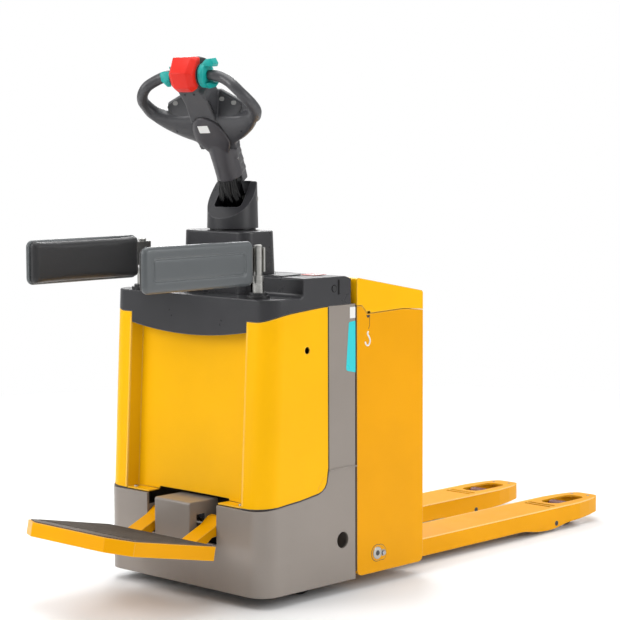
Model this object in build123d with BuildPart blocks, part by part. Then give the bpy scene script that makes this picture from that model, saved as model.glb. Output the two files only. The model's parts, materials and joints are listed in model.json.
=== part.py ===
"""Ride-on pallet truck with a folding platform, a turned tiller and two forks.

Millimetres, Z up, ground at Z = 0. The platform end is the front (-X) and the forks point to
the rear (+X). Left is +Y and right is -Y, as seen when facing the forks. X stations are
measured from the vertical steering axis, which stands at X = STEER_X, Y = 0.
"""
from build123d import *
import os
from math import sin, cos, radians

os.makedirs("parts", exist_ok=True)

# ---------------------------------------------------------------- driving dimensions
STEER_X = -477.869                # X of the steering axis
PIN_CLEAR = 0.05                  # radial running clearance
SEAT_CLEAR = 0.1                  # radial clearance round fixed inserts
REACH = 400.0                     # half length of cuts that run past both flanks

# chassis
HALF_W = 360.0                    # half width
SKIRT_Z = 36.0                    # ground clearance of the skirt
FRONT_X = -232.0                  # front face
COL_X0, COL_X1 = 58.0, 183.0      # side columns, front and rear edges
COL_TOP = 905.0
CORNER_R = 64.0                   # plan radius of the front corners
WALL = 8.0                        # plate thickness
NOTCH_Y, NOTCH_Z = 159.0, 178.0   # platform notch, half width and sill height
DECK_T = 12.0                     # thickness of the inner decks
DRIVE_DECK_Z, CASTOR_DECK_Z = 330.0, 182.0    # undersides of the inner decks
CHASSIS_LEN = COL_X1 - FRONT_X
CHASSIS_MID = (FRONT_X + COL_X1) / 2

# covers
COVER_X = -227.0                  # lower front edge of the front cover
LEAN = 31.0                       # the face leans back this much over its height
COVER_Z0, COVER_Z1 = 302.0, 905.0
COVER_T = 4.0
LIP_Y = 262.0                     # half width of the recessed panel at the lips
RECESS_DEPTH = 44.0
TRAY_Z, DECK_Z = 938.0, 996.0     # top cover, front tray and rear deck
STEP_X = -52.0                    # step between them
TOP_REAR_X = 166.0                # rear face of the top cover
TOP_T = 5.0                       # wall of the top cover
HOUSING_X, HOUSING_TOP = -16.0, 1131.0        # steering housing, centre and top
STOP_AT, STOP_R = (108, 110), 14.0            # emergency stop
KEY_AT, KEY_R = (95, 215), 11.0               # key switch

# platform and side arms
FOLD_X, FOLD_Z = -196.0, 234.0    # platform hinge
FOLD_PIN_R = 10.0
PLATFORM_TILT = 11.2              # platform raised off level at rest
PLATE_X0, PLATE_LEN, PLATE_HALF = 113.7, 374.0, 247.0   # tray start from hinge, length, half width
PLATE_TOP = -59.2                 # tray surface below the hinge axis, square to the tray
POST_X, POST_Y, POST_R = -149.0, 263.0, 17.0
PAD_X0, PAD_X1, PAD_Z0, PAD_Z1 = -608.0, -191.0, 977.5, 1113.5
PAD_Y, PAD_T = 253.0, 45.0        # mid plane and thickness of a pad
PAD_PLATE_Z, PAD_PLATE_T = 1045.0, 6.0        # plate inside the pad

# drive, castors and hydraulics
BEARING_R, BEARING_BORE = 92.0, 80.0          # outer steering bearing ring
WHEEL_R, WHEEL_HALF, RIM_R, AXLE_R = 115.0, 37.0, 88.0, 16.0
CASTOR_Y, CASTOR_R, CASTOR_TRAIL = 262.0, 60.0, 24.0
STEM_R, CASTOR_AXLE_R = 12.0, 8.0
CYL_X, CYL_R, ROD_R = 142.0, 30.0, 19.0       # lift cylinder and its rod

# tiller
STEER_ANGLE = 16.0                # tiller turned off straight ahead at rest
BASE_R, BASE_Z0, BASE_Z1 = 81.0, 1137.0, 1284.0
TILT_X, TILT_Z, TILT_PIN_R = 30.0, 1228.0, 11.0         # tiller pivot in the turned frame
ARM_LEAN = 28.0                   # lean of the tiller arm off vertical
HEAD_X, HEAD_Z = -143.9, 1440.1   # reference point on the underside of the tiller head
HEAD_LEAN = 45.7                  # lean of the head off vertical
ROTOR_AT, ROTOR_R = (196.7, 46.8), 7.0        # butterfly shaft: up the head, to the upper face
# finger button: across, up the panel
FINGER_BUTTONS = {
    "lift_right": (-62, 54), "lower_right": (-104, 42),
    "lift_left": (62, 54), "lower_left": (104, 42),
}

# load carriage, forks and linkage
CAR_X0, CAR_X1 = 185.0, 500.0     # front plate and load face
CAR_HALF, CAR_WALL = 363.0, 6.0
CAR_MID = (CAR_X0 + CAR_X1) / 2
HINGE_X, HINGE_Z = 504.5, 867.5   # axis of the battery cover hinge
BATTERY_Z, BATTERY_H = 94.2, 700.0
FORK_TIP = CAR_X1 + 1150.0
FORK_Y0, FORK_Y1 = 101.0, 270.0   # inner and outer fork edges
FORK_MID, FORK_W = (FORK_Y0 + FORK_Y1) / 2, FORK_Y1 - FORK_Y0
FORK_TOP, FORK_BOT = 85.0, 25.0
ROCKER_X, ROCKER_Z, ROCKER_R = 278.0, 103.0, 20.0
LIFT_BRACKET_Z = 560.0            # underside of the bracket on the lift rod
LEVER_X, LEVER_Z, LEVER_PIN_R = 1349.0, 28.0, 9.0       # pivot of the load wheel bracket
LOAD_X, LOAD_Z, LOAD_R, LOAD_AXLE_R = 1479.0, 41.0, 41.0, 10.0

# ---------------------------------------------------------------- reference planes
TOP = Plane(origin=(STEER_X, 0, 0))
SIDE = Plane(origin=(STEER_X, 0, 0), x_dir=(1, 0, 0), z_dir=(0, -1, 0))   # offsets go right
FRONT = Plane(origin=(STEER_X, 0, 0), x_dir=(0, 1, 0), z_dir=(1, 0, 0))   # offsets go rearward

# turned frame: follows the tiller and the drive unit
AXIS_FOOT = Vector(STEER_X, 0, 0)
UP = Vector(0, 0, 1)
TURN_X = Vector(cos(radians(STEER_ANGLE)), sin(radians(STEER_ANGLE)), 0)
TURN_Y = Vector(-sin(radians(STEER_ANGLE)), cos(radians(STEER_ANGLE)), 0)
TURN_TOP = Plane(origin=AXIS_FOOT, x_dir=TURN_X, z_dir=(0, 0, 1))
TURN_SIDE = Plane(origin=AXIS_FOOT, x_dir=TURN_X, z_dir=TURN_Y * -1)

# cross-section of the arm: x across, local y towards the front
ARM_UP = TURN_X * -sin(radians(ARM_LEAN)) + UP * cos(radians(ARM_LEAN))
ARM = Plane(origin=AXIS_FOOT + TURN_X * TILT_X + UP * TILT_Z, x_dir=TURN_Y, z_dir=ARM_UP)

# tiller head: HEAD has x across, y up the head, z to the upper face
HEAD_UP = TURN_X * -sin(radians(HEAD_LEAN)) + UP * cos(radians(HEAD_LEAN))
HEAD_OUT = TURN_X * cos(radians(HEAD_LEAN)) + UP * sin(radians(HEAD_LEAN))
HEAD_ORIGIN = AXIS_FOOT + TURN_X * HEAD_X + UP * HEAD_Z
HEAD = Plane(origin=HEAD_ORIGIN, x_dir=TURN_Y, z_dir=HEAD_OUT)
# x up the head, y to the upper face, offsets go left
HEAD_SIDE = Plane(origin=HEAD_ORIGIN, x_dir=HEAD_UP, z_dir=TURN_Y)

# platform: x out along it from the hinge, z square to it
PLATFORM = Plane(
    origin=(STEER_X + FOLD_X, 0, FOLD_Z),
    x_dir=(-cos(radians(PLATFORM_TILT)), 0, sin(radians(PLATFORM_TILT))),
    z_dir=(sin(radians(PLATFORM_TILT)), 0, cos(radians(PLATFORM_TILT))),
)


# ---------------------------------------------------------------- helpers
def save(name, part):
    """Label a piece and write its STEP file."""
    part.label = name
    export_step(part, f"parts/{name}.step")


def save_pair(name, right):
    """Save a right-hand piece and its mirror image across the truck."""
    save(f"{name}_right", right)
    with BuildPart() as left:
        mirror(right, about=Plane.XZ)
    save(f"{name}_left", left.part)


def head_point(y, up, out):
    """Point of the tiller head: across, up the head, to the upper face."""
    return HEAD_ORIGIN + TURN_Y * y + HEAD_UP * up + HEAD_OUT * out


def front_at(z):
    """Station of the leaning front face at height z."""
    return COVER_X + LEAN * (z - COVER_Z0) / (COVER_Z1 - COVER_Z0)


# ================================================================ chassis
with BuildPart() as chassis_frame:
    with BuildSketch(TOP.offset(SKIRT_Z)):
        with Locations((CHASSIS_MID, 0)):
            Rectangle(CHASSIS_LEN, 2 * HALF_W)
    extrude(amount=COL_TOP - SKIRT_Z)
    fillet(chassis_frame.edges().filter_by(Axis.Z).group_by(Axis.X)[0], CORNER_R)
    fillet(chassis_frame.edges().filter_by(Axis.Z).group_by(Axis.X)[-1], 6)
    # hollow, open above and below
    with BuildSketch(TOP.offset(SKIRT_Z)) as hollow:
        with Locations((CHASSIS_MID, 0)):
            Rectangle(CHASSIS_LEN - 2 * WALL, 2 * HALF_W - 2 * WALL)
        fillet(hollow.vertices().group_by(Axis.X)[0], CORNER_R - WALL)
    extrude(amount=COL_TOP - SKIRT_Z, mode=Mode.SUBTRACT)
    # cut away above the skirt, forward of the columns
    with BuildSketch(SIDE):
        with BuildLine():
            Polyline((-300, 299.5), (FRONT_X, 299.5), (-184, 305), (-71, 314), (14, 325))
            RadiusArc((14, 325), (53, 370), 70)
            Polyline((53, 370), (COL_X0, 391), (COL_X0, 960), (-300, 960), (-300, 299.5))
        make_face()
    extrude(amount=REACH, both=True, mode=Mode.SUBTRACT)
    # platform notch in the front wall
    with BuildSketch(FRONT.offset(FRONT_X - 5)):
        with Locations((0, (NOTCH_Z + 330) / 2)):
            Rectangle(2 * NOTCH_Y, 330 - NOTCH_Z)
    extrude(amount=40, mode=Mode.SUBTRACT)
    # round access hole in both skirt sides
    with BuildSketch(SIDE):
        with Locations((121, 168)):
            Circle(26)
    extrude(amount=REACH, both=True, mode=Mode.SUBTRACT)
    # two openings in the rear wall
    with BuildSketch(FRONT.offset(COL_X1 - WALL - 2)):
        with Locations((0, 500)):
            Rectangle(260, 420)
        with Locations((0, 130)):
            Rectangle(300, 120)
    extrude(amount=WALL + 6, mode=Mode.SUBTRACT)
    # bearing deck, bored for the steering bearing and the lift cylinder
    with BuildSketch(TOP.offset(DRIVE_DECK_Z)):
        with Locations((35, 0)):
            Rectangle(280.5, 2 * HALF_W - 2 * WALL + 1)
        Circle(BEARING_R + SEAT_CLEAR, mode=Mode.SUBTRACT)
        with Locations((CYL_X, 0)):
            Circle(CYL_R + SEAT_CLEAR, mode=Mode.SUBTRACT)
    extrude(amount=DECK_T)
    # castor decks with swivel bores
    with BuildSketch(TOP.offset(CASTOR_DECK_Z)):
        for side in (-1, 1):
            with Locations((-6, side * 296)):
                Rectangle(200, 113)
            with Locations((0, side * CASTOR_Y)):
                Circle(STEM_R + PIN_CLEAR, mode=Mode.SUBTRACT)
    extrude(amount=DECK_T)
    # hinge lugs behind the notch edges
    for start in (NOTCH_Y + 2, -NOTCH_Y - 12):
        with BuildSketch(SIDE.offset(start)):
            with BuildLine():
                Polyline(
                    (FRONT_X + 4, NOTCH_Z), (-170, NOTCH_Z), (-170, 262), (FRONT_X + 4, 262),
                    close=True,
                )
            make_face()
            with Locations((FOLD_X, FOLD_Z)):
                Circle(FOLD_PIN_R + PIN_CLEAR, mode=Mode.SUBTRACT)
        extrude(amount=10)
save("chassis_frame", chassis_frame.part)


# ================================================================ front cover
def cover_outline(shift, inset):
    """Plan outline of the cover; shift moves the face back, inset thins it to the inner wall."""
    face = COVER_X + shift + inset
    half = HALF_W - inset
    radius = CORNER_R - inset
    lip, panel_y = LIP_Y + inset, LIP_Y - 8 + inset
    panel_x = face + RECESS_DEPTH
    # the inner outline runs out past the open rear
    rear = COL_X0 - 2 if inset == 0 else COL_X0 + 5
    with BuildLine() as outline:
        Line((rear, -half), (face + radius, -half))
        RadiusArc((face + radius, -half), (face, -half + radius), radius)
        Line((face, -half + radius), (face, -lip))
        Line((face, -lip), (panel_x, -panel_y))
        ThreePointArc((panel_x, -panel_y), (panel_x + 9, 0), (panel_x, panel_y))
        Line((panel_x, panel_y), (face, lip))
        Line((face, lip), (face, half - radius))
        RadiusArc((face, half - radius), (face + radius, half), radius)
        Line((face + radius, half), (rear, half))
        Line((rear, half), (rear, -half))
    return outline.line


with BuildPart() as front_cover:
    for inset, mode in ((0, Mode.ADD), (COVER_T, Mode.SUBTRACT)):
        for z, shift in ((COVER_Z0, 0), (COVER_Z1, LEAN)):
            with BuildSketch(TOP.offset(z)):
                add(cover_outline(shift, inset))
                make_face()
        loft(ruled=True, mode=mode)
    # lower edge line, with the rounded rear corner
    with BuildSketch(SIDE):
        with BuildLine():
            Polyline((-300, 302), (FRONT_X, 302), (-184, 307.5), (-71, 316.5), (12, 328))
            RadiusArc((12, 328), (51, 371), 66)
            Polyline(
                (51, 371), (COL_X0, 402), (120, 402), (120, 250), (-300, 250), (-300, 302),
            )
        make_face()
    extrude(amount=REACH, both=True, mode=Mode.SUBTRACT)
    # upper edge line under the top cover
    with BuildSketch(SIDE):
        with BuildLine():
            Spline((120, 904), (58, 903.5), (-68, 895), (-175, 878), (-216, 860), (-260, 845))
            Polyline((-260, 845), (-260, 940), (120, 940), (120, 904))
        make_face()
    extrude(amount=REACH, both=True, mode=Mode.SUBTRACT)
    # ledges that close the recess either side of the platform window
    with BuildSketch(TOP.offset(303)):
        for side in (-1, 1):
            with Locations((COVER_X + 25, side * (NOTCH_Y + LIP_Y) / 2)):
                Rectangle(46, LIP_Y - NOTCH_Y + 1)
    extrude(amount=4)
    # platform window
    with BuildSketch(FRONT.offset(FRONT_X - 30)):
        with Locations((0, 306)):
            Rectangle(2 * NOTCH_Y, 17)
    extrude(amount=110, mode=Mode.SUBTRACT)
    # small lock hole in the right flank
    with BuildSketch(SIDE.offset(HALF_W - 20)):
        with Locations((-36, 776)):
            Circle(11)
    extrude(amount=30, mode=Mode.SUBTRACT)
save("front_cover", front_cover.part)

# screws on the two ledges
with BuildPart() as cover_screws:
    with BuildSketch(TOP.offset(307)):
        with Locations((COVER_X + 22, -240), (COVER_X + 22, 240)):
            Circle(8)
    extrude(amount=5)
    fillet(cover_screws.faces().sort_by(Axis.Z)[-2:].edges(), 3.5)
save("cover_screws", cover_screws.part)

# ================================================================ top cover
with BuildPart() as top_cover:
    for z in (800, DECK_Z):
        with BuildSketch(TOP.offset(z)) as section:
            with Locations(((front_at(z) + TOP_REAR_X) / 2, 0)):
                Rectangle(TOP_REAR_X - front_at(z), 2 * HALF_W)
            fillet(section.vertices().group_by(Axis.X)[0], CORNER_R)
            fillet(section.vertices().group_by(Axis.X)[-1], 10)
    loft(ruled=True)
    # upper profile: low tray in front, raised deck behind, falling slightly at the rear
    with BuildSketch(SIDE):
        with BuildLine():
            Polyline((-300, TRAY_Z), (STEP_X - 12, TRAY_Z))
            RadiusArc((STEP_X - 12, TRAY_Z), (STEP_X, TRAY_Z + 12), -12)
            Polyline(
                (STEP_X, TRAY_Z + 12), (STEP_X + 2, DECK_Z - 4), (STEP_X + 6, DECK_Z),
                (133, DECK_Z - 2), (TOP_REAR_X + 4, DECK_Z - 14), (TOP_REAR_X + 4, 1100),
                (-300, 1100), (-300, TRAY_Z),
            )
        make_face()
    extrude(amount=REACH, both=True, mode=Mode.SUBTRACT)
    fillet(
        top_cover.edges().filter_by(
            lambda e: abs(e.center().Z - TRAY_Z) < 0.1 and e.center().X < STEER_X + STEP_X - 14
        ),
        4,
    )
    # hollow underneath the tray, then up under the deck
    for z in (790, TRAY_Z - TOP_T):
        with BuildSketch(TOP.offset(z)) as section:
            with Locations(((front_at(z) + TOP_REAR_X) / 2, 0)):
                Rectangle(TOP_REAR_X - front_at(z) - 2 * TOP_T, 2 * HALF_W - 2 * TOP_T)
            fillet(section.vertices().group_by(Axis.X)[0], CORNER_R - TOP_T)
            fillet(section.vertices().group_by(Axis.X)[-1], 10 - TOP_T)
    loft(ruled=True, mode=Mode.SUBTRACT)
    with BuildSketch(TOP.offset(TRAY_Z - 6)):
        with Locations(((STEP_X + 8 + TOP_REAR_X - 6) / 2, 0)):
            Rectangle(TOP_REAR_X - 6 - STEP_X - 8, 2 * HALF_W - 12)
    extrude(amount=DECK_Z - 20 - TRAY_Z + 6, mode=Mode.SUBTRACT)
    # lower edge of both flanks
    for start in (LIP_Y - 2, -REACH):
        with BuildSketch(SIDE.offset(start)):
            with BuildLine():
                Spline(
                    (175, 905.5), (58, 905.5), (-68, 897), (-175, 880), (-216, 862), (-262, 847),
                )
                Polyline((-262, 847), (-262, 700), (175, 700), (175, 905.5))
            make_face()
        extrude(amount=REACH - LIP_Y + 2, mode=Mode.SUBTRACT)
    # apron over the recessed panel, its lower edge a shallow arch
    with BuildSketch(FRONT.offset(-260)):
        with BuildLine():
            Polyline(
                (-LIP_Y + 2, 836), (-LIP_Y + 2, 700), (LIP_Y - 2, 700), (LIP_Y - 2, 836),
            )
            ThreePointArc((LIP_Y - 2, 836), (0, 814), (-LIP_Y + 2, 836))
        make_face()
    extrude(amount=200, mode=Mode.SUBTRACT)
    with BuildSketch(TOP.offset(700)):
        with Locations((100, 0)):
            Rectangle(320, 2 * LIP_Y)
    extrude(amount=205.5, mode=Mode.SUBTRACT)
    # opening around the steering housing's foot
    with BuildSketch(TOP.offset(TRAY_Z - 20)) as foot_opening:
        with Locations((HOUSING_X, 0)):
            Rectangle(132, 276)
        fillet(foot_opening.vertices(), 30)
    extrude(amount=100, mode=Mode.SUBTRACT)
    # oval cup recesses behind the posts
    with BuildSketch(TOP.offset(TRAY_Z - 2.5)):
        with Locations((-96, -306), (-96, 306)):
            SlotOverall(66, 44)
    extrude(amount=10, mode=Mode.SUBTRACT)
    # post holes
    with BuildSketch(TOP.offset(TRAY_Z - 20)):
        with Locations((POST_X, -POST_Y), (POST_X, POST_Y)):
            Circle(22)
    extrude(amount=40, mode=Mode.SUBTRACT)
    # bores for the emergency stop and the key switch in the raised deck
    with BuildSketch(TOP.offset(DECK_Z - 30)):
        with Locations(STOP_AT):
            Circle(STOP_R + SEAT_CLEAR)
        with Locations(KEY_AT):
            Circle(KEY_R + SEAT_CLEAR)
    extrude(amount=40, mode=Mode.SUBTRACT)
save("top_cover", top_cover.part)

# ================================================================ steering housing
with BuildPart() as steering_housing:
    # height, length, width, corner radius
    for z, length, width, radius in ((TRAY_Z + 0.3, 156, 300, 40), (HOUSING_TOP, 146, 288, 38)):
        with BuildSketch(TOP.offset(z)) as section:
            with Locations((HOUSING_X, 0)):
                Rectangle(length, width)
            fillet(section.vertices(), radius)
    loft()
    fillet(steering_housing.faces().sort_by(Axis.Z)[-1].edges(), 5)
    with BuildSketch(TOP.offset(TRAY_Z - 1)) as cavity:
        with Locations((HOUSING_X, 0)):
            Rectangle(136, 280)
        fillet(cavity.vertices(), 34)
    extrude(amount=HOUSING_TOP - TRAY_Z - 4, mode=Mode.SUBTRACT)
    # clear of the raised deck's front wall
    with BuildSketch(TOP.offset(TRAY_Z - 1)):
        with Locations(((STEP_X - 14 + 120) / 2, 0)):
            Rectangle(120 - STEP_X + 14, 340)
    extrude(amount=DECK_Z + 0.5 - TRAY_Z + 1, mode=Mode.SUBTRACT)
    # bore for the swivel collar
    with BuildSketch(TOP.offset(1100)):
        Circle(66)
    extrude(amount=60, mode=Mode.SUBTRACT)
save("steering_housing", steering_housing.part)

# ================================================================ platform
with BuildPart() as platform_bracket:
    with BuildSketch(SIDE):
        with BuildLine():
            Polyline(
                (-272, NOTCH_Z + 1.5), (-272, 303), (-150, 303), (-150, NOTCH_Z + 1.5), close=True,
            )
        make_face()
    extrude(amount=80, both=True)
    fillet(
        platform_bracket.edges().filter_by(Axis.Y).group_by(Axis.X)[0].sort_by(Axis.Z)[-1], 8
    )
    fillet(platform_bracket.edges().filter_by(Axis.Z).group_by(Axis.X)[0], 4)
    # hollow, open below and behind
    with BuildSketch(SIDE):
        with BuildLine():
            Polyline(
                (-266, NOTCH_Z - 2), (-266, 297), (-140, 297), (-140, NOTCH_Z - 2), close=True,
            )
        make_face()
    extrude(amount=74, both=True, mode=Mode.SUBTRACT)
    # rectangular openings in both flanks
    with BuildSketch(SIDE):
        with Locations((-222, 242)):
            Rectangle(38, 42)
    extrude(amount=90, both=True, mode=Mode.SUBTRACT)
    with BuildSketch(SIDE):
        with Locations((FOLD_X, FOLD_Z)):
            Circle(FOLD_PIN_R + PIN_CLEAR)
    extrude(amount=90, both=True, mode=Mode.SUBTRACT)
    # feet down to the notch sill
    with BuildSketch(TOP.offset(NOTCH_Z)):
        with Locations((FRONT_X + WALL / 2, -77), (FRONT_X + WALL / 2, 77)):
            Rectangle(WALL - 1, 5)
    extrude(amount=3)
save("platform_bracket", platform_bracket.part)

with BuildPart() as platform_hinge_pin:
    with BuildSketch(SIDE):
        with Locations((FOLD_X, FOLD_Z)):
            Circle(FOLD_PIN_R)
    extrude(amount=174, both=True)
    # end collars
    for start in (-178, 173):
        with BuildSketch(SIDE.offset(start)):
            with Locations((FOLD_X, FOLD_Z)):
                Circle(15)
        extrude(amount=5)
save("platform_hinge_pin", platform_hinge_pin.part)


def tray_outline(inset):
    """Corner points of the tray, its two outer corners cut off, drawn in by inset."""
    near, far = PLATE_X0 + inset, PLATE_X0 + PLATE_LEN - inset
    cut_x = PLATE_X0 + PLATE_LEN - 48 - inset / 2
    half, cut_y = PLATE_HALF - inset, PLATE_HALF - 80 - inset / 2
    return [(near, -half), (cut_x, -half), (far, -cut_y), (far, cut_y), (cut_x, half), (near, half)]


with BuildPart() as platform_tray:
    with BuildSketch(PLATFORM.offset(PLATE_TOP - 43)):
        with BuildLine():
            Polyline(*tray_outline(0), close=True)
        make_face()
    extrude(amount=43)
    # hollow from below
    with BuildSketch(PLATFORM.offset(PLATE_TOP - 44)):
        with BuildLine():
            Polyline(*tray_outline(4), close=True)
        make_face()
    extrude(amount=40, mode=Mode.SUBTRACT)
    square_edges = platform_tray.edges().filter_by(
        lambda e: abs(abs(e.tangent_at(0.5).dot(PLATFORM.z_dir)) - 1) < 1e-3
    )
    fillet(square_edges.group_by(Axis.X)[0], 3)
    # two arms up to the hinge
    for y in (93, -157):
        arm_plane = Plane(
            origin=PLATFORM.origin + Vector(0, y, 0), x_dir=PLATFORM.x_dir, z_dir=(0, 1, 0)
        )
        with BuildSketch(arm_plane):
            with BuildLine():
                Polyline(
                    (0, 26), (14, 20), (40, -8), (PLATE_X0 + 2, PLATE_TOP),
                    (PLATE_X0 + 2, PLATE_TOP - 40), (100, -96), (46, -42), (0, -26),
                )
                ThreePointArc((0, -26), (-26, 0), (0, 26))
            make_face()
            Circle(FOLD_PIN_R + PIN_CLEAR, mode=Mode.SUBTRACT)
        extrude(amount=64)
save("platform_tray", platform_tray.part)

with BuildPart() as platform_mat:
    with BuildSketch(PLATFORM.offset(PLATE_TOP)):
        with BuildLine():
            Polyline(*tray_outline(8), close=True)
        make_face()
    extrude(amount=3)
    # moulded ribs along the truck
    with BuildSketch(PLATFORM.offset(PLATE_TOP + 3)):
        with Locations((PLATE_X0 + 160, 0)):
            with GridLocations(0, 12, 1, 38):
                Rectangle(290, 5)
    extrude(amount=1.6)
save("platform_mat", platform_mat.part)

# ================================================================ side arms
with BuildPart() as side_arm_sockets:
    for side in (-1, 1):
        # flange, collar and the tube through the cover: height, radius, length
        for z, radius, length in (
            (TRAY_Z, 35, 9), (TRAY_Z + 9, 27, 8), (TRAY_Z - 42, 21.5, 42),
        ):
            with BuildSketch(TOP.offset(z)):
                with Locations((POST_X, side * POST_Y)):
                    Circle(radius)
                    Circle(POST_R + PIN_CLEAR, mode=Mode.SUBTRACT)
            extrude(amount=length)
save("side_arm_sockets", side_arm_sockets.part)

with BuildPart() as side_arm_post:
    for z, radius, length in ((900, POST_R, 106), (1006, 12.5, 94)):
        with BuildSketch(TOP.offset(z)):
            with Locations((POST_X, -POST_Y)):
                Circle(radius)
        extrude(amount=length)
    fillet(side_arm_post.faces().sort_by(Axis.Z)[-1].edges(), 2)
    # bracket plates behind and beside the post
    with BuildSketch(TOP.offset(1018)):
        with Locations((POST_X + 15, -POST_Y + 4)):
            Rectangle(6, 34)
        with Locations((POST_X - 12, -POST_Y + 18)):
            Rectangle(60, 6)
        with Locations((POST_X - 30, -POST_Y + 10)):
            Rectangle(24, 12)
    extrude(amount=74)
    # plate inside the pad, then its end towards the post
    for x, length in ((-395, 340), (-205, 50)):
        with BuildSketch(SIDE.offset(PAD_Y - PAD_PLATE_T / 2)):
            with Locations((x, PAD_PLATE_Z)):
                Rectangle(length, 60)
        extrude(amount=PAD_PLATE_T)
save_pair("side_arm_post", side_arm_post.part)

with BuildPart() as side_pad:
    with BuildSketch(SIDE.offset(PAD_Y - PAD_T / 2)):
        with Locations(((PAD_X0 + PAD_X1) / 2, (PAD_Z0 + PAD_Z1) / 2)):
            RectangleRounded(PAD_X1 - PAD_X0, PAD_Z1 - PAD_Z0, 13)
    extrude(amount=PAD_T)
    fillet(
        side_pad.faces().sort_by(Axis.Y)[0].edges() + side_pad.faces().sort_by(Axis.Y)[-1].edges(),
        9,
    )
    # slot for the plate, open towards the post
    with BuildSketch(SIDE.offset(PAD_Y - PAD_PLATE_T / 2 - 0.2)):
        with Locations((-378, PAD_PLATE_Z)):
            Rectangle(376, 60.4)
    extrude(amount=PAD_PLATE_T + 0.4, mode=Mode.SUBTRACT)
save_pair("side_pad", side_pad.part)

# ================================================================ controls on the deck
with BuildPart() as emergency_stop:
    with BuildSketch(TOP.offset(DECK_Z - 24)):
        with Locations(STOP_AT):
            Circle(STOP_R)
    extrude(amount=32)
    with BuildSketch(TOP.offset(DECK_Z + 8)):
        with Locations(STOP_AT):
            Circle(20)
    extrude(amount=11)
    fillet(emergency_stop.faces().sort_by(Axis.Z)[-1].edges(), 5)
save("emergency_stop", emergency_stop.part)

with BuildPart() as key_switch:
    with BuildSketch(TOP.offset(DECK_Z - 24)):
        with Locations(KEY_AT):
            Circle(KEY_R)
    extrude(amount=27)
    with BuildSketch(TOP.offset(DECK_Z + 3)):
        with Locations(KEY_AT):
            SlotOverall(24, 4)
    extrude(amount=22)
    fillet(key_switch.faces().sort_by(Axis.Z)[-1].edges(), 1)
save("key_switch", key_switch.part)

# ================================================================ lift cylinder
with BuildPart() as lift_cylinder:
    # flange under the deck, then the barrel
    for z, radius, length in ((DRIVE_DECK_Z - 12, 32.5, 12), (DRIVE_DECK_Z, CYL_R, 190)):
        with BuildSketch(TOP.offset(z)):
            with Locations((CYL_X, 0)):
                Circle(radius)
        extrude(amount=length)
    with BuildSketch(TOP.offset(DRIVE_DECK_Z - 4)):
        with Locations((CYL_X, 0)):
            Circle(ROD_R + PIN_CLEAR)
    extrude(amount=200, mode=Mode.SUBTRACT)
save("lift_cylinder", lift_cylinder.part)

# ================================================================ steering bearing
with BuildPart() as steering_bearing_outer:
    with BuildSketch(TOP.offset(DRIVE_DECK_Z - 2)):
        Circle(BEARING_R)
        Circle(BEARING_BORE + PIN_CLEAR, mode=Mode.SUBTRACT)
    extrude(amount=22)
    # bolt flange on the deck
    with BuildSketch(TOP.offset(DRIVE_DECK_Z + DECK_T)):
        Circle(110)
        Circle(90, mode=Mode.SUBTRACT)
        with PolarLocations(101, 8, 22.5):
            Circle(4, mode=Mode.SUBTRACT)
    extrude(amount=8)
save("steering_bearing_outer", steering_bearing_outer.part)

with BuildPart() as steering_bearing_inner:
    with BuildSketch(TOP.offset(DRIVE_DECK_Z - 4)):
        Circle(BEARING_BORE)
        Circle(60, mode=Mode.SUBTRACT)
    extrude(amount=26)
save("steering_bearing_inner", steering_bearing_inner.part)

# ================================================================ drive unit
with BuildPart() as drive_gearbox:
    with BuildSketch(TURN_TOP.offset(296)):
        Circle(78)
    extrude(amount=30)
    # leg beside the wheel
    with BuildSketch(TURN_SIDE.offset(-98)):
        with BuildLine():
            Polyline((-58, 296), (-58, WHEEL_R))
            ThreePointArc((-58, WHEEL_R), (0, WHEEL_R - 58), (58, WHEEL_R))
            Polyline((58, WHEEL_R), (58, 296), (-58, 296))
        make_face()
    extrude(amount=50)
    with BuildSketch(TURN_TOP.offset(262)):
        with Locations((0, 10)):
            Rectangle(100, 120)
    extrude(amount=36)
    # axle bore
    with BuildSketch(TURN_SIDE.offset(-90)):
        with Locations((0, WHEEL_R)):
            Circle(AXLE_R + PIN_CLEAR)
    extrude(amount=60, mode=Mode.SUBTRACT)
    # ribs on the outer face
    with BuildSketch(TURN_SIDE.offset(-98)):
        with Locations((0, 170)):
            with GridLocations(26, 1, 3, 1):
                Rectangle(5, 90)
    extrude(amount=-6)
save("drive_gearbox", drive_gearbox.part)

with BuildPart() as drive_motor:
    # spigot, body and cap: height, radius, length
    for z, radius, length in ((326, 59, 32), (358, 84, 238), (596, 66, 22)):
        with BuildSketch(TURN_TOP.offset(z)):
            Circle(radius)
        extrude(amount=length)
    # grooves down the body
    with BuildSketch(TURN_TOP.offset(390)):
        with PolarLocations(84, 24):
            Rectangle(6, 5)
    extrude(amount=180, mode=Mode.SUBTRACT)
    # terminal box
    with BuildSketch(TURN_TOP.offset(430)):
        with Locations((-88, 0)):
            Rectangle(24, 70)
    extrude(amount=90)
save("drive_motor", drive_motor.part)

with BuildPart() as drive_wheel:
    with BuildSketch(TURN_SIDE.offset(-WHEEL_HALF)):
        with Locations((0, WHEEL_R)):
            Circle(RIM_R)
    extrude(amount=2 * WHEEL_HALF)
    # ring recess with six bolt heads on the right face
    with BuildSketch(TURN_SIDE.offset(WHEEL_HALF - 22)):
        with Locations((0, WHEEL_R)):
            Circle(70)
            Circle(30, mode=Mode.SUBTRACT)
    extrude(amount=30, mode=Mode.SUBTRACT)
    with BuildSketch(TURN_SIDE.offset(WHEEL_HALF - 26)):
        with Locations((0, WHEEL_R)):
            with PolarLocations(50, 6):
                Circle(8)
    extrude(amount=10)
    # axle into the gearbox
    with BuildSketch(TURN_SIDE.offset(-86)):
        with Locations((0, WHEEL_R)):
            Circle(AXLE_R)
    extrude(amount=60)
save("drive_wheel", drive_wheel.part)

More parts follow.
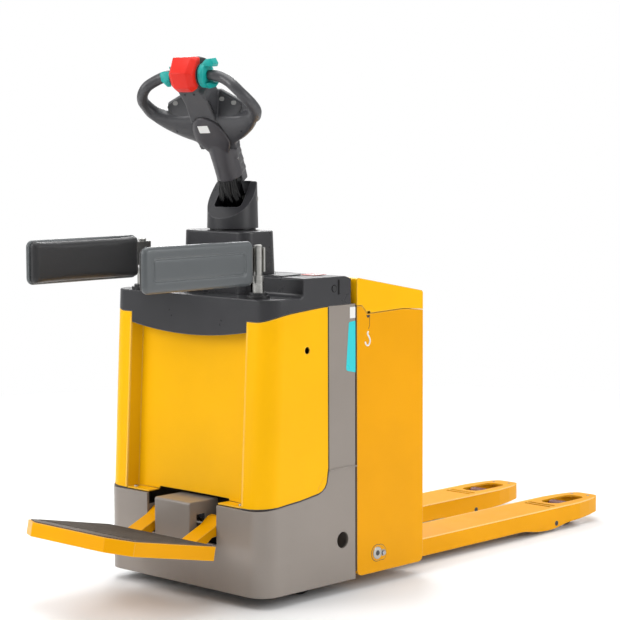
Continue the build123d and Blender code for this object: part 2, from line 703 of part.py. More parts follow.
with BuildPart() as drive_tyre:
    with BuildSketch(TURN_SIDE.offset(-WHEEL_HALF)):
        with Locations((0, WHEEL_R)):
            Circle(WHEEL_R)
            Circle(RIM_R, mode=Mode.SUBTRACT)
    extrude(amount=2 * WHEEL_HALF)
    fillet(drive_tyre.edges().filter_by(GeomType.CIRCLE).sort_by(lambda e: e.radius)[-2:], 6)
save("drive_tyre", drive_tyre.part)

with BuildPart() as steering_shaft:
    with BuildSketch(TURN_TOP.offset(618)):
        Circle(58)
    extrude(amount=10)
    # tube, swivel collar, its rim and its floor: height, radius, bore, length
    for z, radius, bore, length in (
        (628, 22, 15, 484), (1112, 65.92, 30, 20), (1132, 71, 30, 5), (1100, 60, 15, 12),
    ):
        with BuildSketch(TURN_TOP.offset(z)):
            Circle(radius)
            Circle(bore, mode=Mode.SUBTRACT)
        extrude(amount=length)
save("steering_shaft", steering_shaft.part)

# ================================================================ tiller base
with BuildPart() as tiller_base:
    with BuildSketch(TURN_TOP.offset(BASE_Z0)):
        Circle(BASE_R)
    with BuildSketch(TURN_TOP.offset(BASE_Z1)):
        Circle(BASE_R - 3)
    loft()
    # scooped bevel down the front
    with BuildSketch(TURN_SIDE):
        with BuildLine():
            ThreePointArc((-90, 1163), (-36, 1206), (34, 1290))
            Polyline((34, 1290), (34, 1340), (-120, 1340), (-120, 1163), (-90, 1163))
        make_face()
    extrude(amount=120, both=True, mode=Mode.SUBTRACT)
    # rounded rear rim
    fillet(tiller_base.edges().filter_by(lambda e: e.center().Z > BASE_Z1 - 1), 6)
    # cavity for the tiller foot and the cables
    with BuildSketch(TURN_TOP.offset(1152)) as cavity:
        with Locations((13, 0)):
            Rectangle(102, 98)
        fillet(cavity.vertices(), 12)
    extrude(amount=200, mode=Mode.SUBTRACT)
    # pivot bore
    with BuildSketch(TURN_SIDE):
        with Locations((TILT_X, TILT_Z)):
            Circle(TILT_PIN_R + PIN_CLEAR)
    extrude(amount=100, both=True, mode=Mode.SUBTRACT)
save("tiller_base", tiller_base.part)

with BuildPart() as tiller_pivot_pin:
    with BuildSketch(TURN_SIDE):
        with Locations((TILT_X, TILT_Z)):
            Circle(TILT_PIN_R)
    extrude(amount=70, both=True)
save("tiller_pivot_pin", tiller_pivot_pin.part)

# ================================================================ tiller arm
with BuildPart() as tiller_arm:
    with BuildSketch(ARM):
        Rectangle(40, 32)
    extrude(amount=232)
    # pivot boss
    with BuildSketch(TURN_SIDE):
        with Locations((TILT_X, TILT_Z)):
            Circle(21)
    extrude(amount=30, both=True)
    with BuildSketch(ARM.offset(40)):
        Rectangle(32, 24)
    extrude(amount=200, mode=Mode.SUBTRACT)
    with BuildSketch(TURN_SIDE):
        with Locations((TILT_X, TILT_Z)):
            Circle(TILT_PIN_R + PIN_CLEAR)
    extrude(amount=100, both=True, mode=Mode.SUBTRACT)
save("tiller_arm", tiller_arm.part)

with BuildPart() as arm_rear_cover:
    with BuildSketch(ARM.offset(70)) as section:
        with Locations((0, -19)):
            Rectangle(72, 34)
        chamfer(section.vertices().group_by(Axis.Y)[0], 7)
    extrude(amount=138)
    with BuildSketch(ARM.offset(69)):
        with Locations((0, -12)):
            Rectangle(62, 36)
    extrude(amount=150, mode=Mode.SUBTRACT)
    # moulded steps across the back
    back_plane = Plane(
        origin=ARM.origin + ARM_UP * 138 - ARM.y_dir * 36, x_dir=TURN_Y, z_dir=ARM.y_dir * -1
    )
    with BuildSketch(back_plane):
        with GridLocations(1, 26, 1, 3):
            Rectangle(40, 14)
    extrude(amount=1.5)
save("arm_rear_cover", arm_rear_cover.part)

# ================================================================ tiller head
# up the near-vertical button panels, and out of them towards the operator
PANEL_UP = (HEAD_UP * 50 + HEAD_OUT * 52).normalized()
PANEL_OUT = (HEAD_UP * 52 - HEAD_OUT * 50).normalized()


def panel_plane(y, up, out):
    """Plane parallel to the button panels: across, up the panel, out of it."""
    origin = head_point(y, 50, 16) + PANEL_UP * up + PANEL_OUT * out
    return Plane(origin=origin, x_dir=TURN_Y, z_dir=PANEL_OUT)


def parting_plane(out):
    """Plane between the two head shells, at a height towards the upper face."""
    return Plane(
        origin=head_point(0, -92, out), x_dir=TURN_Y, z_dir=HEAD_OUT * 0.947 - HEAD_UP * 0.32
    )


# left half of the head's outline: across, up the head
HEAD_HALF = [
    (0, -94), (44, -86), (74, -58), (110, -36), (147, -5), (176, 24), (192, 46), (186, 60),
    (168, 64), (134, 60), (128, 98), (76, 103), (58, 128), (45, 160),
]
HEAD_OUTLINE = HEAD_HALF + [(-y, up) for y, up in reversed(HEAD_HALF)][:-1]

# outer form of both shells together
with BuildPart() as head_envelope:
    with BuildSketch(HEAD_SIDE):
        with BuildLine():
            Polyline(
                (-96, 10), (-84, 2), (-60, 0), (44, 0), (50, 16), (100, 68), (106, 80), (96, 90),
                (60, 88), (10, 68), (-50, 44), (-90, 26), (-96, 10),
            )
        make_face()
    extrude(amount=210, both=True)
    with BuildSketch(HEAD.offset(-5)):
        with BuildLine():
            Polyline(*HEAD_OUTLINE, close=True)
        make_face()
    extrude(amount=120, mode=Mode.INTERSECT)
    # central ridge, up to the hub
    with BuildSketch(HEAD_SIDE):
        with BuildLine():
            Polyline(
                (40, 0), (168, 0), (172, 10), (172, 88), (90, 88), (60, 60), (40, 0),
            )
        make_face()
    extrude(amount=40, both=True)
    # pockets for the four finger buttons
    for y, up in FINGER_BUTTONS.values():
        with BuildSketch(panel_plane(y, up, -4.2)):
            SlotOverall(18.8, 13.8)
        extrude(amount=12, mode=Mode.SUBTRACT)

# space kept free for the arm and its covers
with BuildPart() as arm_envelope:
    with BuildSketch(ARM.offset(60)):
        Rectangle(77, 73)
    extrude(amount=176)

with BuildPart() as head_lower_shell:
    add(head_envelope.part)
    split(bisect_by=parting_plane(18), keep=Keep.BOTTOM)
    add(arm_envelope.part, mode=Mode.SUBTRACT)
save("head_lower_shell", head_lower_shell.part)

with BuildPart() as head_upper_shell:
    add(head_envelope.part)
    split(bisect_by=parting_plane(18.2), keep=Keep.TOP)
    # hub that carries the rotor shaft
    with BuildSketch(HEAD_SIDE):
        with BuildLine():
            Polyline((172.2, 12), (178, 4), (226, 4), (226, 84))
            ThreePointArc((226, 84), (206, 97), (172, 98))
            Polyline(
                (172, 98), (122, 98), (92, 89), (92, 86), (103, 86.5), (112, 88.3),
                (172.2, 88.3), (172.2, 12),
            )
        make_face()
    extrude(amount=42, both=True)
    with BuildSketch(HEAD_SIDE):
        with Locations(ROTOR_AT):
            Circle(ROTOR_R + PIN_CLEAR)
    extrude(amount=60, both=True, mode=Mode.SUBTRACT)
    add(arm_envelope.part, mode=Mode.SUBTRACT)
save("head_upper_shell", head_upper_shell.part)

with BuildPart() as arm_front_cover:
    with BuildSketch(ARM.offset(70)):
        with BuildLine():
            Line((-37, -1.5), (-37, 8))
            Line((-37, 8), (-30, 14))
            ThreePointArc((-30, 14), (0, 36), (30, 14))
            Line((30, 14), (37, 8))
            Line((37, 8), (37, -1.5))
            Line((37, -1.5), (-37, -1.5))
        make_face()
    extrude(amount=146)
    with BuildSketch(ARM.offset(69)):
        with Locations((0, 5)):
            Rectangle(56, 26)
    extrude(amount=150, mode=Mode.SUBTRACT)
    # the part inside the head is trimmed flush with the head's underside
    with BuildSketch(HEAD):
        Rectangle(300, 400)
    extrude(amount=200, mode=Mode.SUBTRACT)
    # oval plate on the underside of the head
    with BuildSketch(HEAD.offset(-3.2)):
        with BuildLine():
            Polyline((-57, -72), (-58, -40))
            Spline((-58, -40), (-53, 12), (-30, 50), (0, 61), (30, 50), (53, 12), (58, -40))
            Polyline((58, -40), (57, -72), (38, -84), (-38, -84), (-57, -72))
        make_face()
    extrude(amount=3)
save("arm_front_cover", arm_front_cover.part)

# centre line of the left grip loop: across, up the head, to the upper face
GRIP_PATH = [
    (77.5, 197, 47), (93, 193, 48), (112, 187, 44), (135, 182, 33), (156, 174, 20),
    (175, 155, 11), (186, 127, 10), (188, 100, 14), (182, 70, 20), (166, 40, 26),
]


def grip(side):
    """Loop tube from the butterfly to the head; side is 1 for left, -1 for right."""
    path = [head_point(side * y, up, out) for y, up, out in GRIP_PATH]
    with BuildPart() as tube:
        with BuildLine():
            Spline(*path)
        with BuildSketch(Plane(origin=path[0], z_dir=path[1] - path[0])):
            Circle(17)
        sweep()
        add(head_envelope.part, mode=Mode.SUBTRACT)
    return tube.part


save("grip_right", grip(-1))
save("grip_left", grip(1))

# side profiles of the button, body and smaller end face: up the head, to the upper face
BELLY_BODY = [
    (244, 84), (262, 60), (251, 0), (204, -18), (178, -7), (178, -2), (232, -2), (232, 84),
]
BELLY_END = [
    (239, 76), (250, 56), (243, 0), (208, -14), (188, -5.5), (188, -2), (232, -2), (232, 76),
]
with BuildPart() as belly_button:
    with BuildSketch(HEAD_SIDE.offset(-26)):
        with BuildLine():
            Polyline(*BELLY_BODY, close=True)
        make_face()
    extrude(amount=52)
    # tapered ends
    for side in (-1, 1):
        for y, profile in ((26, BELLY_BODY), (40, BELLY_END)):
            with BuildSketch(HEAD_SIDE.offset(side * y)):
                with BuildLine():
                    Polyline(*profile, close=True)
                make_face()
        loft(ruled=True)
save("belly_button", belly_button.part)

with BuildPart() as butterfly_shaft:
    with BuildSketch(HEAD_SIDE):
        with Locations(ROTOR_AT):
            Circle(ROTOR_R)
    extrude(amount=45, both=True)
save("butterfly_shaft", butterfly_shaft.part)


def butterfly(disc_start, wing_start, bore_start):
    """Thumb rotor: a disc with two wings; starts are offsets across the head."""
    with BuildPart() as rotor:
        with BuildSketch(HEAD_SIDE.offset(disc_start)):
            with Locations(ROTOR_AT):
                Circle(38)
        extrude(amount=27.5)
        chamfer(rotor.edges().filter_by(GeomType.CIRCLE), 5)
        with BuildSketch(HEAD_SIDE.offset(wing_start)):
            for angle in (HEAD_LEAN, HEAD_LEAN + 180):
                with Locations(ROTOR_AT):
                    with Locations(Location((0, 0, 0), (0, 0, angle))):
                        with Locations((38, 0)):
                            Trapezoid(40, 20, 72, rotation=-90)
        extrude(amount=36)
        # clearance bore round the end of the loop tube
        with BuildSketch(HEAD_SIDE.offset(bore_start)):
            with Locations(ROTOR_AT):
                Circle(26.5)
        extrude(amount=33.5, mode=Mode.SUBTRACT)
    return rotor.part


save("butterfly_right", butterfly(disc_start=-72.5, wing_start=-102, bore_start=-106))
save("butterfly_left", butterfly(disc_start=45, wing_start=66, bore_start=72.5))


# ================================================================ small tiller controls
def finger_button(y, up):
    """Oval button on a head panel, its outer rim rounded."""
    with BuildPart() as button:
        with BuildSketch(panel_plane(y, up, -2.4)):
            SlotOverall(18, 13)
        extrude(amount=4.9)
        outer_face = button.faces().sort_by(
            lambda f: (f.center() - head_point(0, 50, 16)).dot(PANEL_OUT)
        )[-1]
        fillet(outer_face.edges(), 1.2)
    return button.part


for name, (y, up) in FINGER_BUTTONS.items():
    save(f"finger_button_{name}", finger_button(y, up))

with BuildPart() as horn_button:
    with BuildSketch(HEAD.offset(91.2)):
        with Locations((0, 82)):
            Circle(13)
    extrude(amount=5)
    outer_face = horn_button.faces().sort_by(lambda f: (f.center() - HEAD_ORIGIN).dot(HEAD_OUT))[-1]
    fillet(outer_face.edges(), 1.5)
save("horn_button", horn_button.part)

with BuildPart() as head_screws:
    with BuildSketch(HEAD.offset(-1.2)):
        with Locations((115, 1), (-115, 1), (16, 160), (-16, 160)):
            Circle(3.5)
    extrude(amount=1.2)
save("head_screws", head_screws.part)

with BuildPart() as tiller_cables:
    # each cable: across, forward of the arm's centre line
    for across, forward in ((-24, 25), (-14, 28), (-5, 26), (5, 29), (14, 26), (24, 27)):
        foot = ARM.origin + TURN_Y * across + ARM.y_dir * forward + ARM_UP * 8
        with BuildSketch(Plane(origin=foot, x_dir=TURN_Y, z_dir=ARM_UP)):
            Circle(4.2)
        extrude(amount=60)
save("tiller_cables", tiller_cables.part)

# ================================================================ support castors
with BuildPart() as castor_fork:
    # crown and stem
    for z, radius, length in ((150, 38, 30), (180, STEM_R, 20)):
        with BuildSketch(TOP.offset(z)):
            with Locations((0, -CASTOR_Y)):
                Circle(radius)
        extrude(amount=length)
    # retaining ring above the castor deck
    with BuildSketch(TOP.offset(CASTOR_DECK_Z + DECK_T + 0.2)):
        with Locations((0, -CASTOR_Y)):
            Circle(18)
            Circle(STEM_R, mode=Mode.SUBTRACT)
    extrude(amount=6)
    # cheeks
    for start in (CASTOR_Y - 27, CASTOR_Y + 21):
        with BuildSketch(SIDE.offset(start)):
            with BuildLine():
                Polyline((-30, 152), (30, 152), (CASTOR_TRAIL + 18, CASTOR_R))
                ThreePointArc(
                    (CASTOR_TRAIL + 18, CASTOR_R), (CASTOR_TRAIL, CASTOR_R - 18),
                    (CASTOR_TRAIL - 18, CASTOR_R),
                )
                Line((CASTOR_TRAIL - 18, CASTOR_R), (-30, 152))
            make_face()
        extrude(amount=6)
    # axle
    with BuildSketch(SIDE.offset(CASTOR_Y - 27)):
        with Locations((CASTOR_TRAIL, CASTOR_R)):
            Circle(CASTOR_AXLE_R)
    extrude(amount=54)
save_pair("castor_fork", castor_fork.part)

with BuildPart() as castor_wheel:
    with BuildSketch(SIDE.offset(CASTOR_Y - 19)):
        with Locations((CASTOR_TRAIL, CASTOR_R)):
            Circle(CASTOR_R)
            Circle(CASTOR_AXLE_R + PIN_CLEAR, mode=Mode.SUBTRACT)
    extrude(amount=38)
    fillet(castor_wheel.edges().filter_by(GeomType.CIRCLE).sort_by(lambda e: e.radius)[-2:], 6)
save_pair("castor_wheel", castor_wheel.part)

# ================================================================ hydraulic power unit
with BuildPart() as hydraulic_unit:
    with BuildSketch(TOP.offset(DRIVE_DECK_Z + DECK_T)):
        with Locations((30, -230)):
            RectangleRounded(150, 130, 12)
    extrude(amount=190)
    # large and small cylinders on top of the block
    for place, radius, length in (((0, -230), 42, 140), ((72, -200), 14, 18)):
        with BuildSketch(TOP.offset(532)):
            with Locations(place):
                Circle(radius)
        extrude(amount=length)
save("hydraulic_unit", hydraulic_unit.part)

# ================================================================ load carriage
with BuildPart() as carriage_frame:
    # battery box, its top edge stepped down behind the front plate
    with BuildSketch(SIDE):
        with BuildLine():
            Polyline(
                (CAR_X0, 62), (187.7, 52), (195, 44.7), (205, 42), (480, 42), (490, 44.7),
                (497.3, 52), (CAR_X1, 62), (CAR_X1, 865), (401, 874), (255, 870), (232, 870),
                (207, 896), (CAR_X0, 897), (CAR_X0, 62),
            )
        make_face()
    extrude(amount=CAR_HALF, both=True)
    # hollow above and below the floor
    for z, height in ((94, 900), (30, 56)):
        with BuildSketch(TOP.offset(z)):
            with Locations((CAR_MID, 0)):
                Rectangle(CAR_X1 - CAR_X0 - 2 * CAR_WALL, 2 * CAR_HALF - 2 * CAR_WALL)
        extrude(amount=height, mode=Mode.SUBTRACT)
    # opening in the front plate
    with BuildSketch(FRONT.offset(CAR_X0 - 2)):
        with Locations((0, 300)):
            Rectangle(220, 200)
    extrude(amount=12, mode=Mode.SUBTRACT)
    # channels through the load face for the forks' push rods
    with BuildSketch(FRONT.offset(CAR_X1 - 8)):
        with Locations((-FORK_MID, 64), (FORK_MID, 64)):
            Rectangle(120, 30)
    extrude(amount=20, mode=Mode.SUBTRACT)
    # bore for the rocker shaft
    with BuildSketch(SIDE):
        with Locations((ROCKER_X, ROCKER_Z)):
            Circle(ROCKER_R + PIN_CLEAR)
    extrude(amount=CAR_HALF + 5, both=True, mode=Mode.SUBTRACT)
    # openings in the floor for the rocker arms
    with BuildSketch(TOP.offset(80)):
        with Locations((302, -186), (302, 186)):
            Rectangle(96, 40)
    extrude(amount=20, mode=Mode.SUBTRACT)
    # bracket that rests on the lift rod
    with BuildSketch(TOP.offset(LIFT_BRACKET_Z)):
        with BuildLine():
            Polyline(
                (112, -30), (CAR_X0 + CAR_WALL, -60), (CAR_X0 + CAR_WALL, 60), (112, 30),
                close=True,
            )
        make_face()
    extrude(amount=16)
    # guide slides on the front plate
    with BuildSketch(TOP.offset(300)):
        with Locations((CAR_X0 - 0.7, -300), (CAR_X0 - 0.7, 300)):
            Rectangle(1.4, 40)
    extrude(amount=500)
    # piano hinge of the battery cover along the rear edge, and its leaf
    with BuildSketch(SIDE):
        with Locations((HINGE_X, HINGE_Z)):
            Circle(3.9)
    extrude(amount=240, both=True)
    with BuildSketch(SIDE):
        with BuildLine():
            Polyline(
                (CAR_X1 - 0.1, 832), (CAR_X1 + 2.1, 832), (HINGE_X - 1, HINGE_Z - 2.5),
                (HINGE_X - 3, HINGE_Z - 3.5), (CAR_X1 - 0.1, HINGE_Z - 5), close=True,
            )
        make_face()
    extrude(amount=240, both=True)
save("carriage_frame", carriage_frame.part)

with BuildPart() as battery:
    with BuildSketch(TOP.offset(BATTERY_Z)):
        with Locations((CAR_MID, 0)):
            RectangleRounded(280, 640, 8)
    extrude(amount=BATTERY_H)
    # channel across the underside
    with BuildSketch(TOP.offset(BATTERY_Z)):
        with Locations((CAR_MID, 0)):
            Rectangle(230, 700)
    extrude(amount=40, mode=Mode.SUBTRACT)
    # cell tops and their round caps
    with BuildSketch(TOP.offset(BATTERY_Z + BATTERY_H)):
        with Locations((CAR_MID, 0)):
            with GridLocations(86, 78, 3, 8):
                Rectangle(80, 72)
    extrude(amount=10)
    with BuildSketch(TOP.offset(BATTERY_Z + BATTERY_H + 10)):
        with Locations((CAR_MID, 0)):
            with GridLocations(86, 78, 3, 8):
                Circle(13)
    extrude(amount=6)
save("battery", battery.part)

with BuildPart() as battery_cover:
    with BuildSketch(SIDE):
        with BuildLine():
            Polyline(
                (CAR_X0, 899), (208, 898), (233, 872), (255, 872), (401, 876), (CAR_X1, 867),
                (CAR_X1, 922), (494, 928), (CAR_X0 + 8, 985), (CAR_X0, 982), (CAR_X0, 899),
            )
        make_face()
    extrude(amount=CAR_HALF, both=True)
    fillet(battery_cover.edges().filter_by(Axis.Y).filter_by(lambda e: e.center().Z > 915), 3)
    with BuildSketch(SIDE):
        with BuildLine():
            Polyline(
                (CAR_X0 + 4, 850), (CAR_X1 - 4, 850), (CAR_X1 - 4, 921), (CAR_X0 + 4, 978.5),
                close=True,
            )
        make_face()
    extrude(amount=CAR_HALF - 4, both=True, mode=Mode.SUBTRACT)
    # finger notches in the lower edge, near the front
    with BuildSketch(SIDE):
        with Locations((240, 872)):
            Rectangle(14, 12)
    extrude(amount=CAR_HALF + 5, both=True, mode=Mode.SUBTRACT)
save("battery_cover", battery_cover.part)

# ================================================================ forks
with BuildPart() as fork:
    with BuildSketch(SIDE.offset(FORK_Y0)):
        with BuildLine():
            Polyline(
                (1146, FORK_BOT), (CAR_X1 + 0.2, FORK_BOT), (CAR_X1 + 0.2, FORK_TOP),
                (FORK_TIP, FORK_TOP), (FORK_TIP, 46), (FORK_TIP - 22, 30), (1420, 22),
            )
            Spline(
                (1420, 22), (1345, 11), (1290, 9), (1220, 15), (1146, FORK_BOT),
                tangents=((-1, -0.1), (-1, 0.05)),
            )
        make_face()
    extrude(amount=FORK_W)
    fillet(fork.edges().filter_by(Axis.X).group_by(Axis.Z)[-1], 7)
    # rounded, tapering nose
    with BuildSketch(TOP):
        with BuildLine():
            Polyline((1490, -FORK_Y0), (1560, -FORK_Y0 - 10), (1612, -FORK_Y0 - 21))
            Spline(
                (1612, -FORK_Y0 - 21), (1637, -FORK_Y0 - 34), (FORK_TIP, -160),
                tangents=((1, -0.24), (0, -1)),
            )
            Line((FORK_TIP, -160), (FORK_TIP, -211))
            Spline(
                (FORK_TIP, -211), (1637, -FORK_Y1 + 34), (1612, -FORK_Y1 + 21),
                tangents=((0, -1), (-1, -0.24)),
            )
            Polyline(
                (1612, -FORK_Y1 + 21), (1560, -FORK_Y1 + 10), (1490, -FORK_Y1),
                (400, -FORK_Y1), (400, -FORK_Y0), (1490, -FORK_Y0),
            )
        make_face()
    extrude(amount=120, mode=Mode.INTERSECT)
    # hollow from below
    with BuildSketch(TOP.offset(-2)):
        with BuildLine():
            Polyline(
                (CAR_X1 - 5, -FORK_Y0 - 7), (1500, -FORK_Y0 - 7), (1570, -FORK_Y0 - 24),
                (1606, -FORK_Y0 - 48), (1606, -FORK_Y1 + 48), (1570, -FORK_Y1 + 24),
                (1500, -FORK_Y1 + 7), (CAR_X1 - 5, -FORK_Y1 + 7), close=True,
            )
        make_face()
    extrude(amount=FORK_TOP - 7 + 2, mode=Mode.SUBTRACT)
    # long window over the load wheel
    with BuildSketch(TOP.offset(60)) as window:
        with Locations((1496, -FORK_MID)):
            Rectangle(186, 82)
        fillet(window.vertices(), 32)
    extrude(amount=60, mode=Mode.SUBTRACT)
    # two cross slots over the wheel bracket's lever
    with BuildSketch(TOP.offset(60)):
        with Locations((1346, -FORK_MID), (1372, -FORK_MID)):
            RectangleRounded(16, 118, 5)
    extrude(amount=60, mode=Mode.SUBTRACT)
    # pin bores
    with BuildSketch(SIDE.offset(FORK_Y0 - 2)):
        with Locations((LEVER_X, LEVER_Z)):
            Circle(LEVER_PIN_R + PIN_CLEAR)
    extrude(amount=FORK_W + 4, mode=Mode.SUBTRACT)
save_pair("fork", fork.part)

# ================================================================ lift linkage
with BuildPart() as lift_rod:
    with BuildSketch(TOP.offset(DRIVE_DECK_Z - 2)):
        with Locations((CYL_X, 0)):
            Circle(ROD_R)
    extrude(amount=LIFT_BRACKET_Z - DRIVE_DECK_Z + 2 - 0.1)
save("lift_rod", lift_rod.part)

with BuildPart() as lift_rocker:
    with BuildSketch(SIDE):
        with Locations((ROCKER_X, ROCKER_Z)):
            Circle(ROCKER_R)
    extrude(amount=CAR_HALF + 2, both=True)
    # lower arms, one in line with each fork
    for start in (176, -196):
        with BuildSketch(SIDE.offset(start)):
            with BuildLine():
                Polyline(
                    (ROCKER_X - 16, ROCKER_Z), (ROCKER_X - 12, 60), (ROCKER_X + 12, 60),
                    (ROCKER_X + 16, ROCKER_Z), close=True,
                )
            make_face()
        extrude(amount=20)
save("lift_rocker", lift_rocker.part)

with BuildPart() as push_rods:
    for side in (-1, 1):
        with BuildSketch(FRONT.offset(325)):
            with Locations((side * FORK_MID, 62)):
                RectangleRounded(34, 16, 5)
        extrude(amount=LEVER_X - 40 - 325)
save("push_rods", push_rods.part)

with BuildPart() as load_wheel_brackets:
    for middle in (FORK_MID, -FORK_MID):
        # pivot pin
        with BuildSketch(SIDE.offset(middle - FORK_W / 2 - 1)):
            with Locations((LEVER_X, LEVER_Z)):
                Circle(LEVER_PIN_R)
        extrude(amount=FORK_W + 2)
        # cheeks either side of the wheel
        for start in (-51, 41):
            with BuildSketch(SIDE.offset(middle + start)):
                with BuildLine():
                    Polyline(
                        (LEVER_X - 14, LEVER_Z - 10), (LEVER_X + 10, LEVER_Z - 14),
                        (LOAD_X + 2, LOAD_Z - 15),
                    )
                    ThreePointArc(
                        (LOAD_X + 2, LOAD_Z - 15), (LOAD_X + 15, LOAD_Z), (LOAD_X, LOAD_Z + 15),
                    )
                    Polyline(
                        (LOAD_X, LOAD_Z + 15), (LEVER_X + 18, LEVER_Z + 18),
                        (LEVER_X - 6, LEVER_Z + 42), (LEVER_X - 20, LEVER_Z + 40),
                        (LEVER_X - 14, LEVER_Z - 10),
                    )
                make_face()
            extrude(amount=10)
        # lever bar that the push rod drives, then the wheel axle
        for x, z, radius in ((LEVER_X - 11, LEVER_Z + 34, 8), (LOAD_X, LOAD_Z, LOAD_AXLE_R)):
            with BuildSketch(SIDE.offset(middle - 51)):
                with Locations((x, z)):
                    Circle(radius)
            extrude(amount=102)
save("load_wheel_brackets", load_wheel_brackets.part)

with BuildPart() as load_wheel:
    with BuildSketch(SIDE.offset(FORK_MID - 38)):
        with Locations((LOAD_X, LOAD_Z)):
            Circle(LOAD_R)
            Circle(LOAD_AXLE_R + PIN_CLEAR, mode=Mode.SUBTRACT)
    extrude(amount=76)
    fillet(load_wheel.edges().filter_by(GeomType.CIRCLE).sort_by(lambda e: e.radius)[-2:], 4)
save_pair("load_wheel", load_wheel.part)
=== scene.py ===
"""Ride-on pallet truck with its tiller turned aside, dressed over its CAD pieces.

Metres, +Z up. The forks point along +X, the tiller end is towards -X, left is +Y and right is -Y.
Sizes of the dressed parts are mostly in millimetres: truck_at measures from the steering axis on
the floor, head_at from the foot of the tiller head, arm_at from the tilt pivot of the tiller arm.
"""

import bpy
import bmesh
import json
import math
import numpy as np
from mathutils import Matrix, Vector


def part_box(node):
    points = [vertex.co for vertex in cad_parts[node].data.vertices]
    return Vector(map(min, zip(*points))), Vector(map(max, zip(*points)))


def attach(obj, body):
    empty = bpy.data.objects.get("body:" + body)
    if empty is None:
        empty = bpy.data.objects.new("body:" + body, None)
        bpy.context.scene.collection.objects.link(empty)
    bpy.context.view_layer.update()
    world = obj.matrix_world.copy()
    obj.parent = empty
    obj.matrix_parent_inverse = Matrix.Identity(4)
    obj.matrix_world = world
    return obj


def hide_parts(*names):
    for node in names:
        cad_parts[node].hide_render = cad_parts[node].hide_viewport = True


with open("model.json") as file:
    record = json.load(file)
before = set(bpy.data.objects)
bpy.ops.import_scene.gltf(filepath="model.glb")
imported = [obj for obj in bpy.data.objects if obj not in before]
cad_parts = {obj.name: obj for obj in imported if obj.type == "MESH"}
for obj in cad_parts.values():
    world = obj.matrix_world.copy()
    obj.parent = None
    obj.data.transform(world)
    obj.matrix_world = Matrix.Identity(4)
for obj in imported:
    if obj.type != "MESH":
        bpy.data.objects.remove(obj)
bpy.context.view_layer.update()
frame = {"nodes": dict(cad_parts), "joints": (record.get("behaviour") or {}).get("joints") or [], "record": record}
NODES = frame["nodes"]
JOINT = {j["name"]: j for j in frame["joints"]}
SIDE_NAME = {-1: "right", 1: "left"}

# ------------------------------------------------------------------ axes and measuring points
WORLD_X, WORLD_Y, UP = Vector((1, 0, 0)), Vector((0, 1, 0)), Vector((0, 0, 1))
STEER_X = Vector(JOINT["drive_spin"]["pos_m"]).x

# Tiller head: across to its left, up it, and out of its upper face.
ACROSS = Vector(JOINT["butterfly_turn"]["axis"]).normalized()
HEAD_UP = (Vector(JOINT["belly_press"]["axis"]) * -1).normalized()
HEAD_OUT = (Vector(JOINT["horn_press"]["axis"]) * -1).normalized()
ROTOR_UP, ROTOR_OUT = 196.7, 46.8       # thumb rotor axis, from the foot of the head
HEAD_FOOT = (Vector(JOINT["butterfly_turn"]["pos_m"])
             - HEAD_UP * (ROTOR_UP / 1000) - HEAD_OUT * (ROTOR_OUT / 1000))

# Tiller arm: up it and out of its front, leaning back from the upright.
ARM_LEAN = math.radians(28)
ARM_LEVEL = Vector((ACROSS.y, -ACROSS.x, 0))
ARM_UP = ARM_LEVEL * -math.sin(ARM_LEAN) + UP * math.cos(ARM_LEAN)
ARM_FRONT = ARM_LEVEL * -math.cos(ARM_LEAN) - UP * math.sin(ARM_LEAN)
ARM_PIVOT = Vector(JOINT["tiller_tilt"]["pos_m"])

# Button panels: foot on the head (up, out), and the directions up and out of them.
PANEL_FOOT = (50, 16)
PANEL_UP = (HEAD_UP * 50 + HEAD_OUT * 52).normalized()
PANEL_OUT = (HEAD_UP * 52 - HEAD_OUT * 50).normalized()


def head_at(y, up, out):
    """Point of the tiller head: across, up, towards the upper face."""
    return HEAD_FOOT + ACROSS * (y / 1000) + HEAD_UP * (up / 1000) + HEAD_OUT * (out / 1000)


def truck_at(x, y, z):
    """Point of the truck, from the steering axis."""
    return Vector((STEER_X + x / 1000, y / 1000, z / 1000))


def arm_at(y, front, up):
    """Point of the arm: across, towards the front, up from the pivot."""
    return ARM_PIVOT + ACROSS * (y / 1000) + ARM_FRONT * (front / 1000) + ARM_UP * (up / 1000)


def panel_at(y, up, out):
    """Point of the button panels: across, up the panel, out of it."""
    return head_at(y, *PANEL_FOOT) + PANEL_UP * (up / 1000) + PANEL_OUT * (out / 1000)


# ------------------------------------------------------------------ materials
MATERIALS = {}


def srgb(text):
    """Linear colour of an sRGB hex string."""
    text = text.lstrip("#")
    channels = [int(text[i:i + 2], 16) / 255 for i in (0, 2, 4)]
    return [c / 12.92 if c <= 0.04045 else ((c + 0.055) / 1.055) ** 2.4 for c in channels]


def feed(node, inputs):
    """Fill inputs by name or index: a socket is linked, anything else is set as a value."""
    for key, value in inputs.items():
        if isinstance(value, bpy.types.NodeSocket):
            node.id_data.links.new(value, node.inputs[key])
        else:
            node.inputs[key].default_value = value


def add_node(tree, kind, inputs=None, **settings):
    node = tree.nodes.new(kind)
    for key, value in settings.items():
        setattr(node, key, value)
    feed(node, inputs or {})
    return node


